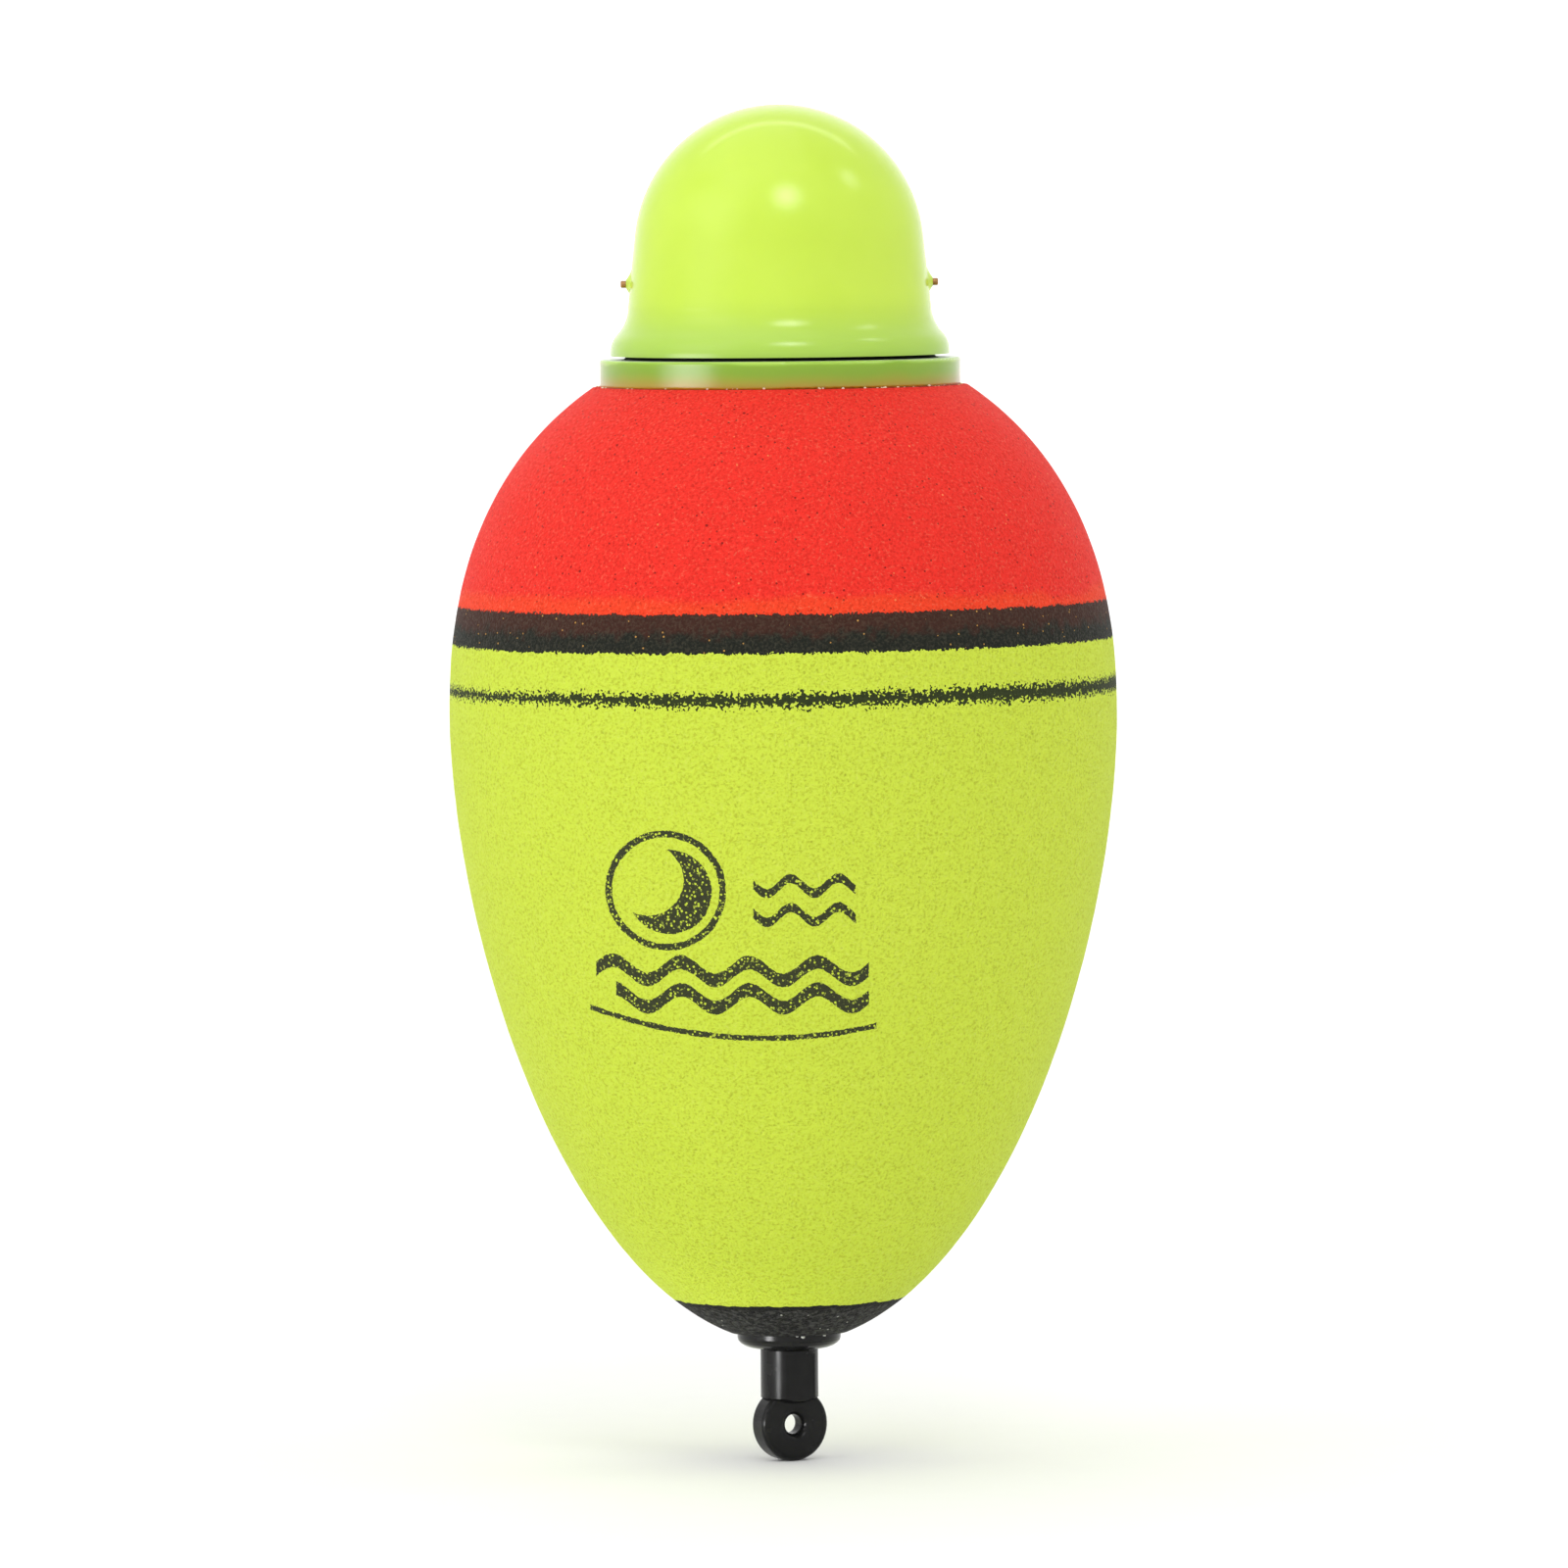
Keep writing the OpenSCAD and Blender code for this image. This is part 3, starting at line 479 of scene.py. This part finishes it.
# The black tip, with a clean darker rim where the dipped paint ends.
TIP_LUMP_SIZE = 0.42 * MM
tip_lumps = noise(paint, place, TIP_LUMP_SIZE, 2.0, 0.65)
tip_grain = over(paint, ramp(paint, tip_lumps, 0.32, 0.60), TIP_GRAIN, BLACK_TIP)
tip_specks = specks(paint, place, 0.8 * MM, 0.09 * MM, 0.30)
tip_grain = over(paint, tip_specks, tip_grain, TIP_SPECK)
tip_edge = calc(paint, "MULTIPLY_ADD", calc(paint, "SUBTRACT", coarse, 0.5), RAGGED_COARSE, level)
tip_rim = ramp(paint, tip_edge, BLACK_TIP_TOP - 0.45 * MM, BLACK_TIP_TOP - 0.25 * MM)
tip_grain = over(paint, tip_rim, tip_grain, TIP_RIM)
shade = over(paint, calc(paint, "LESS_THAN", tip_edge, BLACK_TIP_TOP), shade, tip_grain)
paint.links.new(shade, shader.inputs["Base Color"])
paint.links.new(ramp(paint, grain, 0.2, 0.8, 0.60, 0.82), shader.inputs["Roughness"])
foam_height = calc(paint, "SUBTRACT", grain, calc(paint, "MULTIPLY", pits, 1.2))
shader.inputs["Specular IOR Level"].default_value = 0.20
bump(paint, shader, foam_height, 0.34 * MM, 1.0)

foam = grow("foam_skin", tree, {**foam_sizes, "Paint": foam_paint})
foam.data.set_sharp_from_angle(angle=math.radians(35))
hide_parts("foam_body")
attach(foam, "float")


# ------------------------------------------------------------------------------------------------
# Core tube, foam plug and ballast ring: a moulded backbone tube with a cast ring pushed onto it
# and a white foam filler above, all glued into the bore before the body is painted.
# ------------------------------------------------------------------------------------------------
def dress(node, finish):
    """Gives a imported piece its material."""
    for place_for_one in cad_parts[node].material_slots:
        place_for_one.material = finish


def moulded(name, colour, deep, roughness, gloss_change=0.08, mottle=3.0, grain_size=0.25, depth=0.01):
    """Moulded plastic or rubber: two close tones in soft mottles, with a fine tool texture."""
    finish, tree, shader, place = new_finish(name)
    mottles = noise(tree, place, mottle * MM, 3.0)
    fine = noise(tree, place, grain_size * MM)
    tone = over(tree, ramp(tree, mottles, 0.30, 0.70), colour, deep)
    tree.links.new(tone, shader.inputs["Base Color"])
    dull = ramp(tree, mottles, 0.25, 0.75, roughness - gloss_change, roughness + gloss_change)
    tree.links.new(dull, shader.inputs["Roughness"])
    bump(tree, shader, fine, depth * MM, 0.5)
    return finish, tree, shader, place


def metal(name, colour, dark, roughness, brushed=(1.0, 1.0, 12.0), size=0.8):
    """Bare metal with fine brushing, stretched by the three factors, and slight tarnish."""
    finish, tree, shader, place = new_finish(name)
    links = {"Vector": place, "Scale": brushed}
    strokes = noise(tree, put(tree, "ShaderNodeMapping", links).outputs[0], size * MM, 4.0)
    tarnish = noise(tree, place, 2.0 * MM, 3.0)
    tree.links.new(over(tree, ramp(tree, tarnish, 0.42, 0.75), colour, dark), shader.inputs["Base Color"])
    dull = ramp(tree, strokes, 0.25, 0.75, roughness - 0.08, roughness + 0.10)
    tree.links.new(dull, shader.inputs["Roughness"])
    shader.inputs["Metallic"].default_value = 1.0
    bump(tree, shader, strokes, 0.01 * MM, 0.4)
    return finish


dress("core_tube", moulded("tube plastic", (0.80, 0.80, 0.76), (0.70, 0.70, 0.66), 0.42)[0])
dress("foam_plug", moulded("white foam", (0.86, 0.86, 0.84), (0.74, 0.74, 0.72), 0.85,
                           mottle=0.8, grain_size=0.3, depth=0.10)[0])
dress("ballast_ring", metal("cast ballast", (0.30, 0.31, 0.33), (0.12, 0.12, 0.13), 0.62,
                            (1.0, 1.0, 1.0), 0.4))


# ------------------------------------------------------------------------------------------------
# Stem bush and glue beads: a glossy black flange under the foam tip, whose barrel is glued into
# the core tube. A little white glue has come out along the edge of the flange, near the front.
# ------------------------------------------------------------------------------------------------
BLACK_PLASTIC = (0.006, 0.006, 0.006)
WORN_BLACK = (0.010, 0.010, 0.010)
gloss_black, _, shader, _ = moulded(
    "black bush plastic", BLACK_PLASTIC, WORN_BLACK, 0.20, gloss_change=0.05, mottle=1.5, grain_size=0.5)
shader.inputs["Specular IOR Level"].default_value = 0.22
dress("stem_bush", gloss_black)

bead_inputs = {
    "Ring radius": float, "Ring height": float, "Ring start": float, "Ring sweep": float,
    "Spread": float, "Rise": float, "Count": int, "Smallest": float, "Largest": float,
    "Seed": int, "Stuff": "material",
}
tree, given, result = new_tree("beads round a ring", list(bead_inputs.items()))


def draw_between(low, high, salt):
    """A random number for each bead."""
    seed = calc(tree, "ADD", given["Seed"], salt)
    links = {2: low, 3: high, "Seed": seed}
    return put(tree, "FunctionNodeRandomValue", links, data_type="FLOAT").outputs[1]


dots = put(tree, "GeometryNodeMeshLine", {"Count": given["Count"]}).outputs[0]
stop = calc(tree, "ADD", given["Ring start"], given["Ring sweep"])
turn = draw_between(given["Ring start"], stop, 1)
out = calc(tree, "MULTIPLY_ADD", draw_between(0.0, 1.0, 2), given["Spread"], given["Ring radius"])
links = {
    0: calc(tree, "MULTIPLY", out, calc(tree, "SINE", turn)),
    1: calc(tree, "MULTIPLY", calc(tree, "MULTIPLY", out, calc(tree, "COSINE", turn)), -1.0),
    2: calc(tree, "MULTIPLY_ADD", draw_between(0.0, 1.0, 3), given["Rise"], given["Ring height"]),
}
spot = put(tree, "ShaderNodeCombineXYZ", links).outputs[0]
dots = put(tree, "GeometryNodeSetPosition", {"Geometry": dots, "Position": spot}).outputs[0]
blob = put(tree, "GeometryNodeMeshIcoSphere", {"Radius": 1.0, "Subdivisions": 2}).outputs["Mesh"]
blob = put(tree, "GeometryNodeSetShadeSmooth", {"Geometry": blob}).outputs[0]
width = draw_between(given["Smallest"], given["Largest"], 4)
links = {
    0: calc(tree, "MULTIPLY", width, draw_between(0.7, 1.5, 5)),
    1: width,
    2: calc(tree, "MULTIPLY", width, draw_between(0.5, 0.9, 6)),
}
spread = put(tree, "ShaderNodeCombineXYZ", links).outputs[0]
facing = put(tree, "ShaderNodeCombineXYZ", {2: turn}).outputs[0]
links = {"Points": dots, "Instance": blob, "Scale": spread, "Rotation": facing}
beads = put(tree, "GeometryNodeInstanceOnPoints", links).outputs[0]
beads = put(tree, "GeometryNodeRealizeInstances", {"Geometry": beads}).outputs[0]
beads = put(tree, "GeometryNodeSetMaterial", {"Geometry": beads, "Material": given["Stuff"]}).outputs[0]
tree.links.new(beads, result.inputs[0])
bead_tree = tree

bush_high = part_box("stem_bush")[1]
glue = moulded("dried glue", (0.80, 0.80, 0.76), (0.60, 0.60, 0.55), 0.35, mottle=0.4)[0]
glue_beads = grow("glue_beads", bead_tree, {
    "Ring radius": bush_high.x - 0.05 * MM,
    "Ring height": foam_low.z - 0.25 * MM,
    "Ring start": math.radians(4.0),
    "Ring sweep": math.radians(46.0),
    "Spread": 0.12 * MM,
    "Rise": 0.35 * MM,
    "Count": 9,
    "Smallest": 0.05 * MM,
    "Largest": 0.15 * MM,
    "Seed": 11,
    "Stuff": glue,
})
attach(glue_beads, "float")


# ------------------------------------------------------------------------------------------------
# Line stem, thrust washer and retaining screw: a black moulded stem with two flats and the line
# eye at its foot. Its journal turns in the bush, held from above by a screw and washer.
# ------------------------------------------------------------------------------------------------
satin_black, _, shader, _ = moulded("black stem plastic", BLACK_PLASTIC, WORN_BLACK, 0.24,
                                    gloss_change=0.06, mottle=2.5, grain_size=0.8, depth=0.015)
shader.inputs["Specular IOR Level"].default_value = 0.17
dress("line_stem", satin_black)
screw_steel = metal("zinc plated steel", (0.70, 0.70, 0.71), (0.45, 0.44, 0.42), 0.32)
dress("thrust_washer", screw_steel)
dress("retaining_screw", screw_steel)


# ------------------------------------------------------------------------------------------------
# Lamp socket: a clear-tinted lime cup glued into the top of the foam, with a collar that lies on
# the foam and a thread inside. The glued foam edge is chewed into pale crumbs round the collar.
# ------------------------------------------------------------------------------------------------
LIME_COLLAR = (0.245, 0.430, 0.022)
COLLAR_RED_REFLECTION = (0.46, 0.33, 0.026)
COLLAR_TOP_HIGHLIGHT = (0.36, 0.58, 0.08)
collar_foot = foam_high.z
collar_top = socket_high.z
tinted, tree, shader, place = new_finish("tinted lime plastic")
height = put(tree, "ShaderNodeSeparateXYZ", {0: place}).outputs[2]
swirl = noise(tree, place, 6.0 * MM, 2.0)
level = calc(tree, "MULTIPLY_ADD", calc(tree, "SUBTRACT", swirl, 0.5), 0.9 * MM, height)
# Painted reflection of the red foam low on the collar, and a painted highlight along its top edge, both in
# the colour.
tone = over(tree, ramp(tree, level, collar_foot - 0.2 * MM, collar_foot + 1.5 * MM),
            COLLAR_RED_REFLECTION, LIME_COLLAR)
tone = over(tree, ramp(tree, level, collar_top - 0.35 * MM, collar_top), tone, COLLAR_TOP_HIGHLIGHT)
tree.links.new(tone, shader.inputs["Base Color"])
tree.links.new(ramp(tree, swirl, 0.2, 0.8, 0.12, 0.26), shader.inputs["Roughness"])
shader.inputs["IOR"].default_value = 1.53
shader.inputs["Subsurface Weight"].default_value = 0.75
shader.inputs["Subsurface Radius"].default_value = (1.0, 1.0, 0.6)
shader.inputs["Subsurface Scale"].default_value = 1.6 * MM
shader.inputs["Sheen Weight"].default_value = 0.5
shader.inputs["Sheen Roughness"].default_value = 0.25
bump(tree, shader, noise(tree, place, 1.6 * MM), 0.02 * MM, 0.4)
dress("lamp_socket", tinted)

pale_foam = moulded("torn foam", (0.86, 0.80, 0.42), (0.90, 0.88, 0.70), 0.8, mottle=0.5)[0]
foam_crumbs = grow("foam_crumbs", bead_tree, {
    "Ring radius": socket_high.x - 0.02 * MM,
    "Ring height": collar_foot + 0.01 * MM,
    "Ring start": 0.0,
    "Ring sweep": math.tau,
    "Spread": 0.30 * MM,
    "Rise": 0.08 * MM,
    "Count": 90,
    "Smallest": 0.04 * MM,
    "Largest": 0.12 * MM,
    "Seed": 3,
    "Stuff": pale_foam,
})
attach(foam_crumbs, "float")


# ------------------------------------------------------------------------------------------------
# Seal ring: a black rubber ring on the spigot's root, pinched between the dome's foot and the
# collar. It shows as a dark line in the gap.
# ------------------------------------------------------------------------------------------------
dress("seal_ring", moulded("seal rubber", (0.012, 0.012, 0.012), (0.020, 0.020, 0.020), 0.55)[0])


# ------------------------------------------------------------------------------------------------
# Lamp dome: a thick lime shell, moulded in one with its flared foot, its threaded spigot and the
# two nipples that carry the water contacts. Polished outside, with a few scuffs and trapped specks.
# ------------------------------------------------------------------------------------------------
DOME_LIME = (0.575, 0.790, 0.070)
DEEP_DOME_LIME = (0.550, 0.765, 0.058)
DOME_SKIRT = (0.400, 0.615, 0.080)
DOME_DUST = (0.20, 0.24, 0.05)
DOME_GAP = 0.3 * MM
dome_foot = collar_top + DOME_GAP
dome_shell, tree, shader, place = new_finish("polished lime plastic")
cloudy = noise(tree, place, 7.0 * MM, 2.0)
height = put(tree, "ShaderNodeSeparateXYZ", {0: place}).outputs[2]
tone = over(tree, ramp(tree, cloudy, 0.3, 0.7), DOME_LIME, DEEP_DOME_LIME)
tone = over(tree, ramp(tree, height, dome_foot + 5.5 * MM, dome_foot + 0.5 * MM), tone, DOME_SKIRT)
dust = specks(tree, place, 4.5 * MM, 0.12 * MM, 0.35)
tone = over(tree, calc(tree, "MULTIPLY", dust, 0.6), tone, DOME_DUST)
tree.links.new(tone, shader.inputs["Base Color"])
links = {"Vector": place, "Rotation": (0.4, 0.9, 0.3), "Scale": (1, 9, 9)}
stretch = put(tree, "ShaderNodeMapping", links)
scuffs = ramp(tree, noise(tree, stretch.outputs[0], 3.0 * MM, 3.0), 0.60, 0.72)
tree.links.new(calc(tree, "MULTIPLY_ADD", scuffs, 0.08, 0.19), shader.inputs["Roughness"])
shader.inputs["IOR"].default_value = 1.50
shader.inputs["Subsurface Weight"].default_value = 0.25
shader.inputs["Subsurface Radius"].default_value = (1.0, 1.2, 0.2)
shader.inputs["Subsurface Scale"].default_value = 1.6 * MM
bump(tree, shader, noise(tree, place, 2.5 * MM), 0.015 * MM, 0.35)
dress("lamp_dome", dome_shell)


# ------------------------------------------------------------------------------------------------
# Contact pins and springs: two brass pins pressed through the nipples, gone brown in salt water,
# each touched from inside by a small brass spring that stands on the board.
# ------------------------------------------------------------------------------------------------
pin_brass = metal("water-worn brass", (0.50, 0.27, 0.11), (0.16, 0.08, 0.04), 0.42, (1.0, 1.0, 1.0), 0.3)
spring_brass = metal("bright brass", (0.80, 0.62, 0.30), (0.55, 0.38, 0.18), 0.30)
for side in ("left", "right"):
    dress("contact_pin_" + side, pin_brass)
    dress("contact_spring_" + side, spring_brass)


# ------------------------------------------------------------------------------------------------
# Circuit board: green laminate that carries three lamps on their leads, a black resin blob over
# the driver chip, three chip resistors and the transistor that senses water.
# ------------------------------------------------------------------------------------------------
laminate, tree, shader, place = new_finish("green laminate")
weave = put(tree, "ShaderNodeTexVoronoi", {"Vector": place, "Scale": 1.0 / (0.5 * MM)}).outputs["Distance"]
tracks = put(tree, "ShaderNodeTexBrick", {
    "Vector": place, "Scale": 1.0 / (3.0 * MM), "Mortar Size": 0.05,
    "Color1": (0, 0, 0, 1), "Color2": (0, 0, 0, 1), "Mortar": (1, 1, 1, 1),
}).outputs["Color"]
track_mask = put(tree, "ShaderNodeSeparateColor", {0: tracks}).outputs[0]
tone = over(tree, ramp(tree, weave, 0.1, 0.6), (0.010, 0.110, 0.030), (0.014, 0.150, 0.045))
tone = over(tree, calc(tree, "MULTIPLY", track_mask, 0.8), tone, (0.030, 0.240, 0.075))
tree.links.new(tone, shader.inputs["Base Color"])
tree.links.new(ramp(tree, weave, 0.0, 0.6, 0.30, 0.42), shader.inputs["Roughness"])
bump(tree, shader, track_mask, 0.03 * MM, 0.6)
dress("circuit_board", laminate)

for number, (colour, deep) in enumerate((
        ((0.80, 0.030, 0.020), (0.60, 0.015, 0.012)),
        ((0.05, 0.60, 0.070), (0.03, 0.45, 0.050)),
        ((0.03, 0.110, 0.80), (0.02, 0.070, 0.60)))):
    resin, tree, shader, place = moulded(f"lamp resin {number + 1}", colour, deep, 0.14, 0.05)
    shader.inputs["Transmission Weight"].default_value = 0.35
    shader.inputs["IOR"].default_value = 1.52
    dress(f"led_{number + 1}", resin)
dress("led_leads", metal("tinned lead wire", (0.80, 0.80, 0.80), (0.55, 0.54, 0.52), 0.28))
dress("driver_blob", moulded("black resin", (0.012, 0.012, 0.013), (0.020, 0.020, 0.021), 0.22)[0])
dress("chip_resistors", moulded("chip ceramic", (0.030, 0.030, 0.034), (0.050, 0.050, 0.055), 0.45)[0])
dress("sensor_transistor", moulded("transistor case", (0.020, 0.020, 0.022), (0.032, 0.032, 0.034), 0.5)[0])


# ------------------------------------------------------------------------------------------------
# Cell carrier and its contacts: a white moulded tray screwed up under the board, with a plated
# strip on the cell's rim, a brass finger on its face and two small screws.
# ------------------------------------------------------------------------------------------------
dress("cell_carrier", moulded("white tray plastic", (0.82, 0.82, 0.78), (0.74, 0.74, 0.70), 0.38)[0])
dress("positive_contact", metal("plated strip", (0.74, 0.74, 0.75), (0.58, 0.57, 0.54), 0.30))
dress("negative_contact", spring_brass)
dress("carrier_screws", screw_steel)


# ------------------------------------------------------------------------------------------------
# Coin cell: a pressed steel can, a black insulating ring and the cap, crimped together. It drops
# out downwards when the head is off.
# ------------------------------------------------------------------------------------------------
dress("cell_can", metal("cell can steel", (0.70, 0.71, 0.72), (0.58, 0.59, 0.60), 0.28, (1.0, 10.0, 1.0)))
dress("cell_gasket", moulded("insulating ring", (0.020, 0.020, 0.022), (0.032, 0.032, 0.034), 0.5)[0])
dress("cell_cap", metal("cell cap steel", (0.72, 0.73, 0.74), (0.60, 0.61, 0.62), 0.36,
                        (1.0, 1.0, 1.0), 0.3))


# ------------------------------------------------------------------------------------------------
# Studio: a white sweep of paper under and behind the float and an even white surround. Two broad
# soft lamps on the left, one overhead, and smaller ones in front, on the right and by the stem.
# ------------------------------------------------------------------------------------------------
SWEEP_HALF_WIDTH = 4.0
SWEEP_FRONT = -4.0
SWEEP_BACK = 2.2
SWEEP_BEND = 1.2
SWEEP_TOP = 4.0
SWEEP_STEPS = 24
floor_z = cad_box[0].z
profile = [(SWEEP_FRONT, floor_z), (SWEEP_BACK, floor_z)]
for step in range(1, SWEEP_STEPS + 1):
    turn = math.radians(90.0) * step / SWEEP_STEPS
    back = SWEEP_BACK + SWEEP_BEND * math.sin(turn)
    profile.append((back, floor_z + SWEEP_BEND * (1 - math.cos(turn))))
profile.append((SWEEP_BACK + SWEEP_BEND, SWEEP_TOP))
corners = [(x, y, z) for y, z in profile for x in (-SWEEP_HALF_WIDTH, SWEEP_HALF_WIDTH)]
faces = [(2 * n, 2 * n + 1, 2 * n + 3, 2 * n + 2) for n in range(len(profile) - 1)]
sweep_mesh = bpy.data.meshes.new("paper sweep")
sweep_mesh.from_pydata(corners, [], faces)
sweep_mesh.shade_smooth()
sweep = bpy.data.objects.new("paper_sweep", sweep_mesh)
bpy.context.scene.collection.objects.link(sweep)
paper, tree, shader, place = new_finish("white paper")
fibre = noise(tree, place, 4.0 * MM, 3.0)
tree.links.new(over(tree, fibre, (0.93, 0.93, 0.93), (0.95, 0.95, 0.95)), shader.inputs["Base Color"])
shader.inputs["Roughness"].default_value = 0.9
shader.inputs["Specular IOR Level"].default_value = 0.1
sweep_mesh.materials.append(paper)


def soft_lamp(name, place, size, power, target=float_middle, spread=180.0, faded=True):
    """A soft box of some width and height that faces a target, brightest in its middle if faded."""
    data = bpy.data.lights.new(name, "AREA")
    data.shape = "RECTANGLE"
    data.size, data.size_y = size
    data.energy = power
    data.spread = math.radians(spread)
    if faded:
        data.use_nodes = True
        glow = data.node_tree
        across = put(glow, "ShaderNodeNewGeometry").outputs["Parametric"]
        off = put(glow, "ShaderNodeVectorMath", {0: across, 1: (0.5, 0.5, 0.0)}, operation="DISTANCE")
        fade = ramp(glow, off.outputs["Value"], 0.5, 0.0)
        glow.links.new(fade, glow.nodes["Emission"].inputs["Strength"])
    lamp = bpy.data.objects.new(name, data)
    lamp.location = place
    lamp.rotation_euler = (Vector(place) - Vector(target)).to_track_quat("Z", "Y").to_euler()
    lamp.visible_camera = False
    bpy.context.scene.collection.objects.link(lamp)


soft_lamp("low left", (-1.17, -0.62, 0.0), (1.40, 0.52), 18.5, (0.0, 0.0, 0.0))
soft_lamp("high left", (-1.10, -0.72, 0.75), (2.00, 2.00), 11.5)
soft_lamp("stem accent", (-0.0495, -0.0495, 0.001), (0.100, 0.020), 0.0065, (0.0, 0.0, 0.001), 24.0)
soft_lamp("overhead", (-0.35, -0.10, 1.60), (1.60, 1.60), 3.3, faded=False)
soft_lamp("front", (0.14, -1.00, 1.04), (0.75, 0.75), 14.0)
soft_lamp("right", (1.00, -0.08, 1.10), (0.50, 0.50), 3.0)
soft_lamp("backdrop", (0.0, 1.30, 2.20), (3.00, 1.00), 40.0, (0.0, 3.30, 0.60), faded=False)
SURROUND_STRENGTH = 0.79
surround = bpy.data.worlds.new("white surround")
surround.use_nodes = True
surround_light = surround.node_tree.nodes["Background"].inputs
surround_light["Color"].default_value = (1.0, 1.0, 1.0, 1.0)
surround_light["Strength"].default_value = SURROUND_STRENGTH
bpy.context.scene.world = surround
bpy.context.scene.view_settings.view_transform = "Standard"
